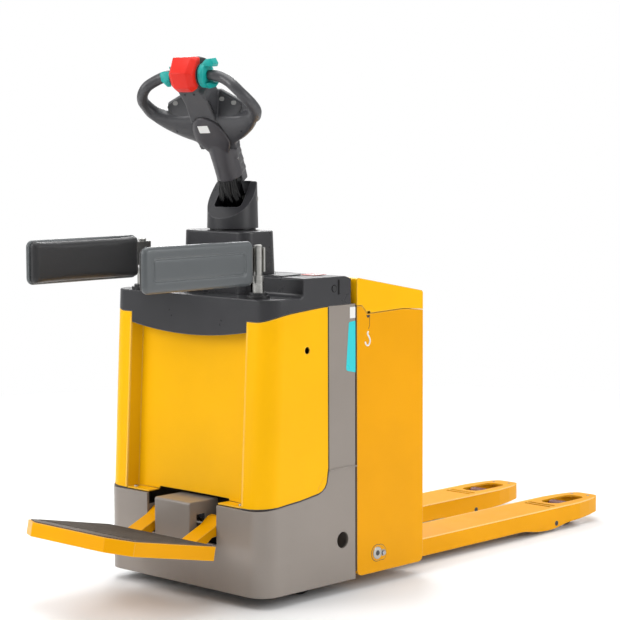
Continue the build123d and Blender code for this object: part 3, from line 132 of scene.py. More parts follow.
class Shader:
    """A material with a principled surface; its methods take and return sockets."""

    def __init__(self, name):
        self.material = bpy.data.materials.new(name)
        self.material.use_nodes = True
        self.tree = self.material.node_tree
        self.tree.nodes.clear()
        self.output = self.add("ShaderNodeOutputMaterial")
        self.surface = self.add("ShaderNodeBsdfPrincipled")
        feed(self.output, {0: self.surface.outputs[0]})
        self.coords = self.add("ShaderNodeTexCoord").outputs["Object"]

    def add(self, kind, inputs=None, **settings):
        return add_node(self.tree, kind, inputs, **settings)

    def noise(self, scale, detail, rough, stretch=None):
        node = self.add("ShaderNodeTexNoise", {"Scale": scale, "Detail": detail,
                                               "Roughness": rough})
        coords = self.coords
        if stretch:
            mapping = self.add("ShaderNodeMapping", {"Scale": stretch, "Vector": coords})
            coords = mapping.outputs[0]
        feed(node, {"Vector": coords})
        return node.outputs["Fac"]

    def remap(self, value, source, target):
        """Map the source range (low, high) onto the target range."""
        return self.add("ShaderNodeMapRange", {
            "From Min": source[0], "From Max": source[1],
            "To Min": target[0], "To Max": target[1], 0: value}).outputs[0]

    def mix(self, amount, first, second):
        """Blend two colours, each a socket or three linear values."""
        ends = [[*c[:3], 1] if isinstance(c, list) else c for c in (first, second)]
        return self.add("ShaderNodeMix", {0: amount, 6: ends[0], 7: ends[1]},
                        data_type="RGBA").outputs[2]

    def multiply(self, first, second):
        return self.add("ShaderNodeMath", {0: first, 1: second}, operation="MULTIPLY").outputs[0]

    def bump(self, strength, distance):
        return self.add("ShaderNodeBump", {"Strength": strength, "Distance": distance})

    def edge_mask(self, rounded):
        """0 on flats, rising to 1 on outside and inside edges."""
        geometry = self.add("ShaderNodeNewGeometry")
        facing = self.add("ShaderNodeVectorMath", {0: rounded, 1: geometry.outputs["Normal"]},
                          operation="DOT_PRODUCT")
        return self.remap(facing.outputs["Value"], (0.995, 0.9), (0.0, 1.0))


def paint(name, color, rough, metal=0.0, coat=0.0, spec=0.5, sheen=0.0, drift=0.10,
          grain=700, bump=0.12, depth=0.0004, peel=None, stretch=None,
          bevel=0.0016, edge=None, edge_glint_and_wear=0.6, dirt=0.0, bleed=1.0):
    """Finish with slow colour drift, grain in the bump, and edges lightened in patches: painted highlight along
    the edges, partly also worn paint.

    color is linear values or hex; drift is the colour variation; grain, bump and depth are scale,
    strength and height of the fine bump; peel is the scale of an orange-peel bump; stretch scales
    the noise axes; bevel is the edge radius, edge the colour of the painted edge highlight and
    edge_glint_and_wear its strength; bleed is the share of the colour kept in bounced light.
    """
    shader = Shader(name)
    rgb = srgb(color) if isinstance(color, str) else color
    dark = [c * (1 - drift) for c in rgb]
    light = [min(1, c * (1 + drift * 0.55)) for c in rgb]
    slow = shader.noise(scale=3.3, detail=3, rough=0.5, stretch=stretch)
    tint = shader.mix(shader.remap(slow, (0.35, 0.65), (0, 1)), dark, light)
    fine = shader.noise(scale=grain, detail=3, rough=0.6, stretch=stretch)
    if dirt:
        smudge = shader.noise(scale=14, detail=6, rough=0.65)
        amount = shader.remap(smudge, (0.55, 0.8), (0, dirt))
        tint = shader.mix(amount, tint, [c * 0.45 for c in rgb])
    rounded = shader.add("ShaderNodeBevel", {"Radius": bevel}, samples=4).outputs[0]
    if edge:
        # patches of the edges take the edge colour: painted highlight along the edges, partly also worn paint
        mask = shader.edge_mask(rounded)
        patchy = shader.noise(scale=55, detail=5, rough=0.7)
        amount = shader.remap(patchy, (0.3, 0.7), (edge_glint_and_wear * 0.45, edge_glint_and_wear))
        tint = shader.mix(shader.multiply(mask, amount), tint, srgb(edge))
    if bleed < 1:
        # bounced light is greyer than the finish, so that the floor stays neutral
        path = shader.add("ShaderNodeLightPath")
        amount = shader.multiply(path.outputs["Is Diffuse Ray"], 1 - bleed)
        grey = 0.3 * rgb[0] + 0.5 * rgb[1] + 0.2 * rgb[2]
        tint = shader.mix(amount, tint, [grey, grey * 0.97, grey * 0.93])
    sheen_drift = shader.noise(scale=9, detail=5, rough=0.6, stretch=stretch)
    roughness = shader.remap(sheen_drift, (0.3, 0.7), (rough * 0.86, min(1, rough * 1.16)))
    grain_bump = shader.bump(bump, depth)
    feed(grain_bump, {"Height": fine})
    normal = rounded
    if peel:
        peel_bump = shader.bump(strength=0.25, distance=0.0006)
        peel_noise = shader.noise(scale=peel, detail=2, rough=0.4)
        feed(peel_bump, {"Height": peel_noise, "Normal": rounded})
        normal = peel_bump.outputs[0]
    feed(grain_bump, {"Normal": normal})
    feed(shader.surface, {
        "Base Color": tint, "Roughness": roughness, "Metallic": metal, "Coat Weight": coat,
        "Coat Roughness": 0.18, "Specular IOR Level": spec, "Sheen Weight": sheen,
        "Normal": grain_bump.outputs[0]})
    MATERIALS[name] = shader.material


def ribbed_mat():
    """Rubber mat: fine ribs along X, lighter on their crests."""
    shader = Shader("mat_ribbed")
    ribs = shader.add("ShaderNodeTexWave", {
        "Scale": 36, "Distortion": 0.25, "Detail": 2, "Detail Scale": 3, "Vector": shader.coords,
    }, wave_type="BANDS", bands_direction="Y", wave_profile="SIN").outputs["Fac"]
    crest = shader.remap(ribs, (0.2, 0.9), (0, 1))
    tint = shader.mix(crest, srgb("#453F3A"), srgb("#6A635C"))
    dust = shader.remap(shader.noise(scale=11, detail=6, rough=0.65), (0.45, 0.8), (0, 0.5))
    tint = shader.mix(dust, tint, srgb("#7A7066"))
    rib_bump = shader.bump(strength=0.7, distance=0.0016)
    feed(rib_bump, {"Height": ribs})
    grain_bump = shader.bump(strength=0.35, distance=0.0006)
    feed(grain_bump, {"Height": shader.noise(scale=500, detail=3, rough=0.6),
                      "Normal": rib_bump.outputs[0]})
    feed(shader.surface, {"Base Color": tint, "Roughness": 0.68,
                          "Normal": grain_bump.outputs[0]})
    MATERIALS["mat_ribbed"] = shader.material


# The edge colours below are painted highlights along the edges, partly also worn paint; on the yellow cover, the
# charcoal and the pad shell they are highlights.
paint("yellow_cover", [0.97, 0.49, 0.0], rough=0.32, spec=0.12, grain=900, bump=0.08, drift=0.03,
      bevel=0.004, edge="#FFE48A", bleed=0.4)
paint("yellow_steel", [0.84, 0.365, 0.0], rough=0.34, spec=0.10, grain=650, bump=0.16,
      drift=0.04, bevel=0.003, edge="#FFDF8C", edge_glint_and_wear=0.75, bleed=0.4)
paint("grey_steel", "#8E857D", rough=0.34, coat=0.1, bump=0.2, peel=160, drift=0.05,
      bevel=0.002, edge="#C4BDB5", edge_glint_and_wear=0.4, dirt=0.08)
paint("charcoal", "#2D2D30", rough=0.30, grain=520, bump=0.3, drift=0.06, bevel=0.003,
      edge="#8E8E92", edge_glint_and_wear=0.55)
paint("charcoal_head", "#414144", rough=0.36, grain=800, bump=0.4, drift=0.06, bevel=0.0015,
      edge="#8E8E92", edge_glint_and_wear=0.4)
paint("black_plastic", "#232325", rough=0.42, grain=600, bump=0.4, edge="#606064", edge_glint_and_wear=0.4)
paint("arm_dark", "#3B393D", rough=0.36, bump=0.3, drift=0.06, bevel=0.0012,
      edge="#77757A", edge_glint_and_wear=0.35)
paint("arm_grey", "#565658", rough=0.42, grain=650, bump=0.4, drift=0.06, bevel=0.0012,
      edge="#98989A", edge_glint_and_wear=0.4)
paint("panel_dark", "#38383B", rough=0.42, grain=900, bump=0.3, drift=0.05, bevel=0.0008,
      edge="#7A7A7D", edge_glint_and_wear=0.4)
paint("pad_soft", "#1D1D1F", rough=0.46, grain=420, bump=0.8, depth=0.0006, drift=0.08,
      bevel=0.001, edge="#5A5A5E", edge_glint_and_wear=0.25, sheen=0.15)
paint("pad_shell", "#5A5E60", rough=0.33, metal=0.15, grain=900, bump=0.06, drift=0.02,
      bevel=0.0035, edge="#B4B8BA", edge_glint_and_wear=0.7)
paint("grip", "#3A3A3D", rough=0.5, grain=480, bump=0.8, depth=0.0005, drift=0.08, sheen=0.1,
      edge="#6A6A6E", edge_glint_and_wear=0.3)
paint("red", "#E42414", rough=0.4, spec=0.3, grain=800, bump=0.2, drift=0.06,
      edge="#FF8A7A", edge_glint_and_wear=0.45, bevel=0.002)
paint("teal", "#0FA39C", rough=0.36, spec=0.35, grain=800, bump=0.2, drift=0.06,
      edge="#7FE5E0", edge_glint_and_wear=0.45, bevel=0.002)
paint("grey_plastic", "#8E8D8B", rough=0.45, bump=0.35, drift=0.06, edge="#B5B4B2", edge_glint_and_wear=0.4)
paint("zinc", "#B9B8B4", rough=0.3, metal=1.0, grain=160, bump=0.15, drift=0.12,
      stretch=(1, 1, 14), edge="#E8E8E4", edge_glint_and_wear=0.4)
paint("steel", "#A9A9AA", rough=0.28, metal=1.0, grain=260, drift=0.12, edge="#E0E0E0", edge_glint_and_wear=0.4)
paint("cast", "#3C3C40", rough=0.5, metal=0.3, grain=260, bump=0.6, depth=0.0007, drift=0.14,
      edge="#77777A", edge_glint_and_wear=0.4)
paint("tyre", "#1E1E1F", rough=0.7, grain=350, bump=0.5, drift=0.16, edge="#4A4A4A",
      edge_glint_and_wear=0.35, dirt=0.1)
paint("pu_wheel", "#5C2413", rough=0.45, spec=0.25, grain=500, bump=0.3, drift=0.14,
      edge="#B86A48", edge_glint_and_wear=0.35, dirt=0.12)
paint("cable", "#040405", rough=0.2, spec=0.3, grain=300, bump=0.15, drift=0.12,
      edge="#505052", edge_glint_and_wear=0.3)
paint("battery", "#3A3B3E", rough=0.45, grain=500, bump=0.3, edge="#6A6A6E", edge_glint_and_wear=0.4)
paint("decal_cyan", "#12CFD6", rough=0.3, coat=0.3, grain=900, bump=0.05, drift=0.04,
      bevel=0.0004)
paint("decal_white", "#EDEDEA", rough=0.35, coat=0.3, grain=900, bump=0.05, drift=0.04,
      bevel=0.0004)
# Near-black fill for gaps, slots, holes, joint lines and the housing collar; in the gaps, slots, holes and joint
# lines it is painted shade.
paint("decal_dark", "#2A2A2C", rough=0.35, coat=0.2, grain=900, bump=0.08, drift=0.06,
      bevel=0.0004)
paint("decal_red", "#C43A30", rough=0.35, coat=0.3, grain=900, bump=0.05, drift=0.05,
      bevel=0.0004)
# A yellow a little lighter than the cover's, for the rolled lip: partly painted highlight; its gloss catches the
# real light too.
paint("lip", [1.0, 0.53, 0.03], rough=0.2, coat=0.3, spec=0.6, grain=900, bump=0.05, drift=0.03,
      bevel=0.001, bleed=0.4)
# Pale yellow for the fork edge tubes: painted highlight.
paint("edge_pale", [1.0, 0.62, 0.22], rough=0.3, spec=0.4, grain=900, bump=0.05, drift=0.05,
      bevel=0.0005, bleed=0.4)
ribbed_mat()

# Finish of each material slot where the names differ, and of single CAD pieces.
SLOT_FINISH = {
    "charcoal_plastic": "charcoal", "black_pad": "pad_soft", "grip_plastic": "grip",
    "red_plastic": "red", "teal_plastic": "teal", "cream_plastic": "grey_plastic",
    "zinc_steel": "zinc", "machined_steel": "steel", "cast_metal": "cast", "tyre_rubber": "tyre",
    "wheel_polyurethane": "pu_wheel", "cable_rubber": "cable", "mat_rubber": "mat_ribbed",
    "battery_case": "battery",
}
NODE_FINISH = {
    "head_lower_shell": "charcoal_head", "head_upper_shell": "charcoal_head",
    "arm_front_cover": "charcoal_head", "head_screws": "black_plastic",
    "platform_bracket": "grey_steel",
}
SLOT_OF = {s["node"]: s["material_slot"] for s in frame["record"]["subparts"]}
for node_name, piece in NODES.items():
    slot_name = SLOT_OF[node_name]
    finish_name = NODE_FINISH.get(node_name, SLOT_FINISH.get(slot_name, slot_name))
    piece.data.materials.clear()
    piece.data.materials.append(MATERIALS[finish_name])


# ------------------------------------------------------------------ objects and modifiers
def link_mesh(name, mesh, finish):
    mesh.materials.append(MATERIALS[finish])
    o = bpy.data.objects.new(name, mesh)
    bpy.context.scene.collection.objects.link(o)
    return o


def mesh_object(name, points, faces, finish):
    mesh = bpy.data.meshes.new(name)
    mesh.from_pydata([tuple(p) for p in points], [], faces)
    mesh.update()
    return link_mesh(name, mesh, finish)


def bmesh_object(name, bm, finish):
    mesh = bpy.data.meshes.new(name)
    bmesh.ops.recalc_face_normals(bm, faces=bm.faces)
    bm.to_mesh(mesh)
    bm.free()
    return link_mesh(name, mesh, finish)


def modify(o, kind, **settings):
    modifier = o.modifiers.new(kind.lower(), kind)
    for key, value in settings.items():
        setattr(modifier, key, value)
    return modifier


def apply_modifiers(o):
    bpy.context.view_layer.update()
    depsgraph = bpy.context.evaluated_depsgraph_get()
    mesh = bpy.data.meshes.new_from_object(o.evaluated_get(depsgraph), depsgraph=depsgraph)
    o.modifiers.clear()
    o.data = mesh


def smooth_all(o):
    o.data.polygons.foreach_set("use_smooth", [True] * len(o.data.polygons))


def smooth_by_angle(o, crease, recalc=False):
    """Smooth shading with sharp edges above the crease angle in degrees."""
    bm = bmesh.new()
    bm.from_mesh(o.data)
    if recalc:
        bmesh.ops.recalc_face_normals(bm, faces=bm.faces)
    limit = math.radians(crease)
    for face in bm.faces:
        face.smooth = True
    for edge in bm.edges:
        if len(edge.link_faces) == 2 and edge.calc_face_angle(0) > limit:
            edge.smooth = False
    bm.to_mesh(o.data)
    bm.free()


def get_points(mesh):
    return np.array([v.co for v in mesh.vertices], float)


def set_points(mesh, points):
    mesh.vertices.foreach_set("co", points.astype(np.float32).ravel())
    mesh.update()


def ride(o, body):
    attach(o, body)
    return o


# ------------------------------------------------------------------ outlines and curves
def disc(radius, cx=0.0, cy=0.0, n=32):
    """Regular polygon of n corners."""
    angles = [2 * math.pi * i / n for i in range(n)]
    return [(cx + radius * math.cos(a), cy + radius * math.sin(a)) for a in angles]


def rounded_rect(w, h, r, steps=6):
    """Rounded rectangle about the origin, counter-clockwise."""
    points = []
    for cx, cy, start in ((w / 2 - r, h / 2 - r, 0), (-w / 2 + r, h / 2 - r, 90),
                          (-w / 2 + r, -h / 2 + r, 180), (w / 2 - r, -h / 2 + r, 270)):
        for i in range(steps + 1):
            a = math.radians(start + 90 * i / steps)
            points.append((cx + r * math.cos(a), cy + r * math.sin(a)))
    return points


def rounded(outline, radii, steps=5):
    """Outline with rounded corners; radii is one radius or one for each corner."""
    points = []
    count = len(outline)
    for i, corner in enumerate(outline):
        radius = radii[i] if isinstance(radii, list) else radii
        corner = Vector(corner)
        back = Vector(outline[i - 1]) - corner
        ahead = Vector(outline[(i + 1) % count]) - corner
        radius = min(radius, back.length * 0.45, ahead.length * 0.45)
        start = corner + back.normalized() * radius
        end = corner + ahead.normalized() * radius
        for k in range(steps + 1):
            t = k / steps
            points.append(tuple(start * (1 - t) ** 2 + corner * 2 * t * (1 - t) + end * t * t))
    return points


def grown(outline, amount, centre):
    """Outline with each point pushed away from the centre."""
    return [tuple(Vector(p) + (Vector(p) - centre).normalized() * amount) for p in outline]


def mirrored(half):
    """Stations from -max to +max, given the positive ones in falling order."""
    return [-v for v in half] + [v for v in reversed(half) if v]


def spline_point(a, b, c, d, t):
    """Catmull-Rom point between b and c."""
    return 0.5 * ((2 * b) + (c - a) * t + (2 * a - 5 * b + 4 * c - d) * t * t
                  + (3 * b - a - 3 * c + d) * t ** 3)


def spline(points, steps=6):
    """Open Catmull-Rom curve through the points."""
    P = [Vector(p) for p in points]
    P = [P[0] * 2 - P[1]] + P + [P[-1] * 2 - P[-2]]
    curve = [spline_point(*P[i - 1:i + 3], k / steps)
             for i in range(1, len(P) - 2) for k in range(steps)]
    return curve + [P[-2]]


# ------------------------------------------------------------------ solids
# A form is a list of rings of equal point counts, skinned and capped.
def skin(rings):
    """Points and faces: the sides, the first cap, the last cap."""
    n = len(rings[0])
    last = (len(rings) - 1) * n
    faces = []
    for k in range(0, last, n):
        for i in range(n):
            j = (i + 1) % n
            faces.append((k + i, k + j, k + n + j, k + n + i))
    faces.append(tuple(reversed(range(n))))
    faces.append(tuple(range(last, last + n)))
    return [p for ring in rings for p in ring], faces


def prism(outline, place, start, end):
    """Form swept from start to end; place maps (u, v, depth) to a point."""
    return [[place(u, v, depth) for u, v in outline] for depth in (start, end)]


def tube_form(points, radii, seg):
    """Round tube with a steady frame."""
    P = [Vector(p) for p in points]
    side = (P[1] - P[0]).normalized().orthogonal().normalized()
    angles = [2 * math.pi * k / seg for k in range(seg)]
    rings = []
    for i, (p, r) in enumerate(zip(P, radii)):
        along = (P[min(i + 1, len(P) - 1)] - P[max(i - 1, 0)]).normalized()
        side = (side - along * side.dot(along)).normalized()
        other = along.cross(side)
        rings.append([p + side * (r * math.cos(a)) + other * (r * math.sin(a)) for a in angles])
    return rings


def solid(name, forms, finish):
    """One object of several forms."""
    bm = bmesh.new()
    for rings in forms:
        points, faces = skin(rings)
        verts = [bm.verts.new(p) for p in points]
        for face in faces:
            bm.faces.new([verts[i] for i in face])
    return bmesh_object(name, bm, finish)


def sculpt(name, forms, voxel, relax, finish):
    """Join forms into one skin by voxel remesh and relax its surface."""
    o = solid(name, forms, finish)
    modify(o, "REMESH", mode="VOXEL", voxel_size=voxel, use_smooth_shade=True)
    modify(o, "SMOOTH", factor=0.5, iterations=relax)
    apply_modifiers(o)
    smooth_all(o)
    return o


def loft(name, rings, finish, crease):
    o = mesh_object(name, *skin(rings), finish)
    smooth_by_angle(o, crease, recalc=True)
    return o


def tube(name, points, radius, finish, seg):
    """Round tube; its radius is in metres."""
    o = mesh_object(name, *skin(tube_form(points, [radius] * len(points), seg)), finish)
    smooth_by_angle(o, 50)
    return o


def hull_piece(name, points, finish, bevel, seg):
    """Faceted block round the points, with bevelled edges."""
    bm = bmesh.new()
    for p in points:
        bm.verts.new(p)
    hull = bmesh.ops.convex_hull(bm, input=bm.verts)
    inside = [g for g in hull["geom_interior"] if isinstance(g, bmesh.types.BMVert)]
    bmesh.ops.delete(bm, geom=inside, context="VERTS")
    bmesh.ops.dissolve_limit(bm, angle_limit=math.radians(3), verts=bm.verts, edges=bm.edges)
    o = bmesh_object(name, bm, finish)
    modify(o, "BEVEL", width=bevel, segments=seg, limit_method="ANGLE",
           angle_limit=math.radians(12))
    apply_modifiers(o)
    smooth_by_angle(o, 25)
    return o


def plate(name, outline, origin, axis_u, axis_v, thick, finish, edge=0.0):
    """Thin plate standing on a plane at origin; sizes in mm, edge rounds its upper rim."""
    outline = [(u / 1000, v / 1000) for u, v in outline]
    thick, edge = thick / 1000, edge / 1000
    normal = axis_u.cross(axis_v).normalized()
    cu = sum(p[0] for p in outline) / len(outline)
    cv = sum(p[1] for p in outline) / len(outline)
    steps = [(0, 0)]                    # inset, height
    if edge > 0:
        for i in range(4):
            a = math.pi / 2 * i / 3
            steps.append((edge * (1 - math.cos(a)), thick - edge + edge * math.sin(a)))
    else:
        steps.append((0, thick))
    rings = []
    for inset, height in steps:
        ring = []
        for u, v in outline:
            k = max(0.0, 1 - inset / (math.hypot(u - cu, v - cv) or 1))
            ring.append(origin + axis_u * (cu + (u - cu) * k) + axis_v * (cv + (v - cv) * k)
                        + normal * height)
        rings.append(ring)
    points, faces = skin(rings)
    faces[-2:] = faces[-1], faces[-2]   # the top face comes before the bottom
    return mesh_object(name, points, faces, finish)


def side_plate(name, outline, y, thick, finish, body, edge=0.0):
    """Plate on the flank at y, facing outwards; outline is (x, z)."""
    flip = 1 if y < 0 else -1
    outline = [(flip * x, z) for x, z in outline][::flip]
    o = plate(name, outline, truck_at(0, y, 0), WORLD_X * flip, UP, thick, finish, edge)
    return ride(o, body)


def deck_plate(name, outline, z, thick, finish, edge=0.0):
    """Plate lying on the chassis deck; outline is (x, y)."""
    o = plate(name, outline, truck_at(0, 0, z), WORLD_X, WORLD_Y, thick, finish, edge)
    return ride(o, "chassis")


# ------------------------------------------------------------------ side arm pads (metres)
PAD_LONGER = 0.022          # longer than the CAD pad
PAD_SHIFT = 0.003           # and moved towards +X
PAD_CORNER = 0.020
PAD_ROUND = 0.013           # rounding of the shell's outer edge
PAD_SHELL_SHARE = 0.40      # of the thickness
PAD_GAP = 0.0006            # between shell and cushion
PAD_TOP_ROOM = 0.0060       # left for the swell of the cushion
PAD_STRAIGHT = 0.004        # straight rim before the cushion rounds over
SEAM_UP, SEAM_WIDTH, SEAM_DEPTH = 0.0065, 0.0016, 0.0016
# Embossed field of the shell: inset, depth, corner radius.
PAD_FIELD = [
    (0.030, 0.0, 0.012), (0.0325, 0.0004, 0.012), (0.034, 0.0022, 0.012),
    (0.0352, 0.0030, 0.012), (0.0368, 0.0030, 0.011), (0.038, 0.0022, 0.010),
    (0.0395, 0.0008, 0.010), (0.042, 0.0004, 0.010),
]


def inflate(o, voxel, pressure, reach, frames):
    """Cushion swell by cloth pressure on a remeshed copy; no point moves beyond reach."""
    modify(o, "REMESH", mode="VOXEL", voxel_size=voxel, use_smooth_shade=True)
    apply_modifiers(o)
    rest = get_points(o.data)
    cloth = modify(o, "CLOTH")
    settings = cloth.settings
    settings.quality = 5
    settings.mass = 0.3
    settings.use_pressure = True
    settings.uniform_pressure_force = pressure
    settings.effector_weights.gravity = 0
    settings.tension_stiffness = 12
    settings.compression_stiffness = 12
    settings.bending_stiffness = 1.0
    cloth.collision_settings.use_self_collision = False
    cloth.point_cache.frame_start = 1
    cloth.point_cache.frame_end = frames + 1
    scene = bpy.context.scene
    for f in range(1, frames + 1):
        scene.frame_set(f)
    swollen = o.evaluated_get(bpy.context.evaluated_depsgraph_get())
    move = get_points(swollen.data) - rest
    length = np.linalg.norm(move, axis=1, keepdims=True)
    move = move * np.minimum(1.0, reach / np.maximum(length, 1e-9))
    o.modifiers.clear()
    set_points(o.data, rest + move)
    scene.frame_set(1)
    modify(o, "SUBSURF", levels=1, render_levels=1)
    apply_modifiers(o)
    smooth_all(o)


def shell_rings(ring, length, height, depth):
    """Shell from its back rim to the embossed outer face."""
    rings = [ring(length - trim, height - trim, PAD_CORNER, depth - step)
             for trim, step in ((0.004, 0), (0.001, 0.0015), (0, 0.004))]
    for i in range(6):
        a = math.pi / 2 * i / 5
        inset = PAD_ROUND * (1 - math.cos(a))
        rings.append(ring(length - 2 * inset, height - 2 * inset,
                          max(0.004, PAD_CORNER - inset * 0.7),
                          PAD_ROUND - PAD_ROUND * math.sin(a)))
    for inset, at, corner in PAD_FIELD:
        rings.append(ring(length - 2 * inset, height - 2 * inset, corner, at))
    rings.append(ring(length - 0.13, height - 0.105, 0.006, 0.0003))
    return rings


def cushion_rings(ring, length, height, base, top):
    """Cushion from its flat back to the rounded inner face."""
    corner = PAD_CORNER - 0.004
    rise = top - base - PAD_STRAIGHT
    rings = [ring(length, height, corner, base), ring(length, height, corner, base + PAD_STRAIGHT)]
    for i in range(1, 5):
        a = math.pi / 2 * i / 4
        inset = rise * (1 - math.cos(a))
        rings.append(ring(length - 2 * inset, height - 2 * inset,
                          max(0.004, corner - inset * 0.5),
                          base + PAD_STRAIGHT + rise * math.sin(a)))
    return rings


def side_pad(side):
    """Hard outer shell, and a swollen soft cushion on the operator's side."""
    tag = SIDE_NAME[side]
    node, body = f"side_pad_{tag}", f"side_arm_{tag}"
    low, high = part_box(node)
    cx, cz = (low.x + high.x) / 2 + PAD_SHIFT, (low.z + high.z) / 2
    length, height, thick = high.x - low.x + PAD_LONGER, high.z - low.z, high.y - low.y
    outer_y = low.y if side < 0 else high.y

    def ring(w, h, corner, depth):
        return [Vector((cx + u, outer_y - side * depth, cz + v))
                for u, v in rounded_rect(w, h, corner)]

    shell_depth = thick * PAD_SHELL_SHARE
    shell = loft(f"pad_shell_{tag}", shell_rings(ring, length, height, shell_depth),
                 "pad_shell", crease=40)
    ride(shell, body)

    base = shell_depth + PAD_GAP
    rings = cushion_rings(ring, length - 0.005, height - 0.005, base, thick - PAD_TOP_ROOM)
    cushion = loft(f"pad_cushion_{tag}", rings, "pad_soft", crease=30)
    inflate(cushion, voxel=0.005, pressure=3.0, reach=0.0035, frames=20)
    # a flat back against the shell, and a seam groove near the rim
    points = get_points(cushion.data)
    depth = np.maximum((outer_y - points[:, 1]) * side, shell_depth + 0.0004)
    groove = np.exp(-((depth - (base + SEAM_UP)) / SEAM_WIDTH) ** 2) * SEAM_DEPTH
    spoke = points - np.array([cx, 0, cz])
    spoke[:, 1] = 0
    reach = np.maximum(np.linalg.norm(spoke, axis=1, keepdims=True), 1e-6)
    points = points - spoke / reach * groove[:, None]
    points[:, 1] = outer_y - side * np.minimum(depth, thick)
    set_points(cushion.data, points)
    ride(cushion, body)
    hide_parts(node)


side_pad(-1)
side_pad(1)

# ------------------------------------------------------------------ tiller head
# Wing section: distance across, lower and upper end, back and upper face.
WING = [
    (0, -94, 60, 0, 62), (30, -91, 58, 0, 60), (50, -82, 56, 0, 58), (74, -60, 54, 0, 54),
    (95, -47, 54, 0, 50), (110, -37, 55, 0, 48), (130, -21, 58, 0, 46), (147, -6, 65, 0, 44),
    (162, 10, 76, 0, 41), (174, 27, 90, -1, 37), (183, 46, 104, -2, 34), (190, 72, 112, 0, 30),
]
WING_STATIONS = [190, 187, 183, 178, 174, 168, 162, 155, 147, 138, 130, 120, 110, 95, 84, 74,
                 60, 50, 30, 0]
CONSOLE_STATIONS = [133, 131, 118, 104, 90, 74, 58, 50]
# Grip loop centre line: across, up, out; and its radii.
LOOP = [(65, 196.5, 47.2), (84, 195.5, 47), (108, 188, 45), (135, 182, 33), (155, 175, 20),
        (174, 155, 11), (186, 127, 10), (187, 100, 15), (182, 70, 20), (166, 44, 24)]
LOOP_RADII = [16, 17, 17, 17, 17, 17, 17.5, 19, 22, 24]
# Ridge between the panels, unequal left and right: across, up.
RIDGE = [(47, 40), (40, 80), (34, 115), (34, 176), (-24, 176), (-38, 168), (-46, 155),
         (-50, 138), (-50, 118), (-47, 80), (-42, 34), (0, 20)]


def across_head(up, out, y):
    """head_at for profiles drawn as (up, out) and swept across."""
    return head_at(y, up, out)


def wing_section(y):
    """Row of WING at a distance across, interpolated."""
    for a, b in zip(WING, WING[1:]):
        if y <= b[0]:
            k = max(0, (y - a[0]) / (b[0] - a[0]))
            return [p + (q - p) * k for p, q in zip(a[1:], b[1:])]


def superellipse(cx, cy, rx, ry, power=2.8, seg=36):
    points = []
    for i in range(seg):
        a = 2 * math.pi * i / seg
        c, s = math.cos(a), math.sin(a)
        points.append((cx + rx * math.copysign(abs(c) ** (2 / power), c),
                       cy + ry * math.copysign(abs(s) ** (2 / power), s)))
    return points


def wing_form():
    rings = []
    for y in mirrored(WING_STATIONS):
        s0, s1, w0, w1 = wing_section(abs(y))
        section = superellipse((s0 + s1) / 2, (w0 + w1) / 2, (s1 - s0) / 2, (w1 - w0) / 2)
        rings.append([head_at(y, up, out) for up, out in section])
    return rings


def console_form():
    """Body behind the button panels, falling away to both sides."""
    foot_up, foot_out = PANEL_FOOT
    rings = []
    for y in mirrored(CONSOLE_STATIONS):
        k = min(1, max(0, (abs(y) - 56) / 75))
        rise = 72 - 38 * k
        up, out = foot_up + rise * 0.693, foot_out + rise * 0.721
        drop = 34 * k
        ring = [(46, 12), (50, 16), (up, out), (up + 6, out + 9), (up + 3, out + 18),
                (up - 9, out + 21), (60 - drop * 0.5, 88 - drop), (14, 69 - drop * 0.7),
                (2, 52 - drop * 0.4), (4, 14)]
        rings.append([head_at(y, a, b) for a, b in ring])
    return rings


def loop_form(side):
    curve = spline([head_at(side * y, up, out) for y, up, out in LOOP])
    radii = []
    for i in range(len(curve)):
        x = i / (len(curve) - 1) * (len(LOOP_RADII) - 1)
        k = min(int(x), len(LOOP_RADII) - 2)
        radii.append((LOOP_RADII[k] + (LOOP_RADII[k + 1] - LOOP_RADII[k]) * (x - k)) / 1000)
    return tube_form(curve, radii, seg=20)


def sink_head_seam(mesh):
    """Parting line round the head and the loops."""
    points = get_points(mesh)
    normals = np.array([v.normal for v in mesh.vertices], float)
    seam_normal = np.array(HEAD_OUT * 0.947 - HEAD_UP * 0.32)
    from_seam = (points - np.array(head_at(0, -92, 18))) @ seam_normal
    from_foot = points - np.array(HEAD_FOOT)
    up = from_foot @ np.array(HEAD_UP)
    y = np.abs(from_foot @ np.array(ACROSS))
    groove = np.exp(-(from_seam / 0.0011) ** 2) * 0.0013 * (up < 0.12) * (y > 0.03)
    set_points(mesh, points - normals * groove[:, None])


HEAD_FORMS = [
    wing_form(),
    console_form(),
    # neck towards the arm
    prism([(6, 6), (20, 70), (-50, 46), (-90, 27), (-84, 4)], across_head, -66, 66),
    prism(RIDGE, head_at, 0.5, 74),
    # hub between the two rotors
    prism(disc(37, ROTOR_UP, ROTOR_OUT, 40), across_head, -42, 42),
    prism([(150, 4), (176, 3), (226, 10), (226, 80), (150, 86)], across_head, -36, 36),
    loop_form(-1),
    loop_form(1),
]
head = sculpt("tiller_head", HEAD_FORMS, voxel=0.0024, relax=5, finish="charcoal_head")
sink_head_seam(head.data)
ride(head, "tiller")
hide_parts("head_lower_shell", "head_upper_shell", "grip_left", "grip_right")

# ------------------------------------------------------------------ tiller arm
# Left half of the oval cover plate: across, up.
OVAL = [(0, 61), (18, 58), (36, 44), (49, 22), (55, 0), (58, -22), (58, -42), (52, -60),
        (42, -76), (30, -88)]
# Rings of the plate: growth, out.
OVAL_STEPS = [(0, 6), (0, -3.0), (-1.2, -5.0), (-4, -6.6), (-14, -8.4), (-28, -9.6)]


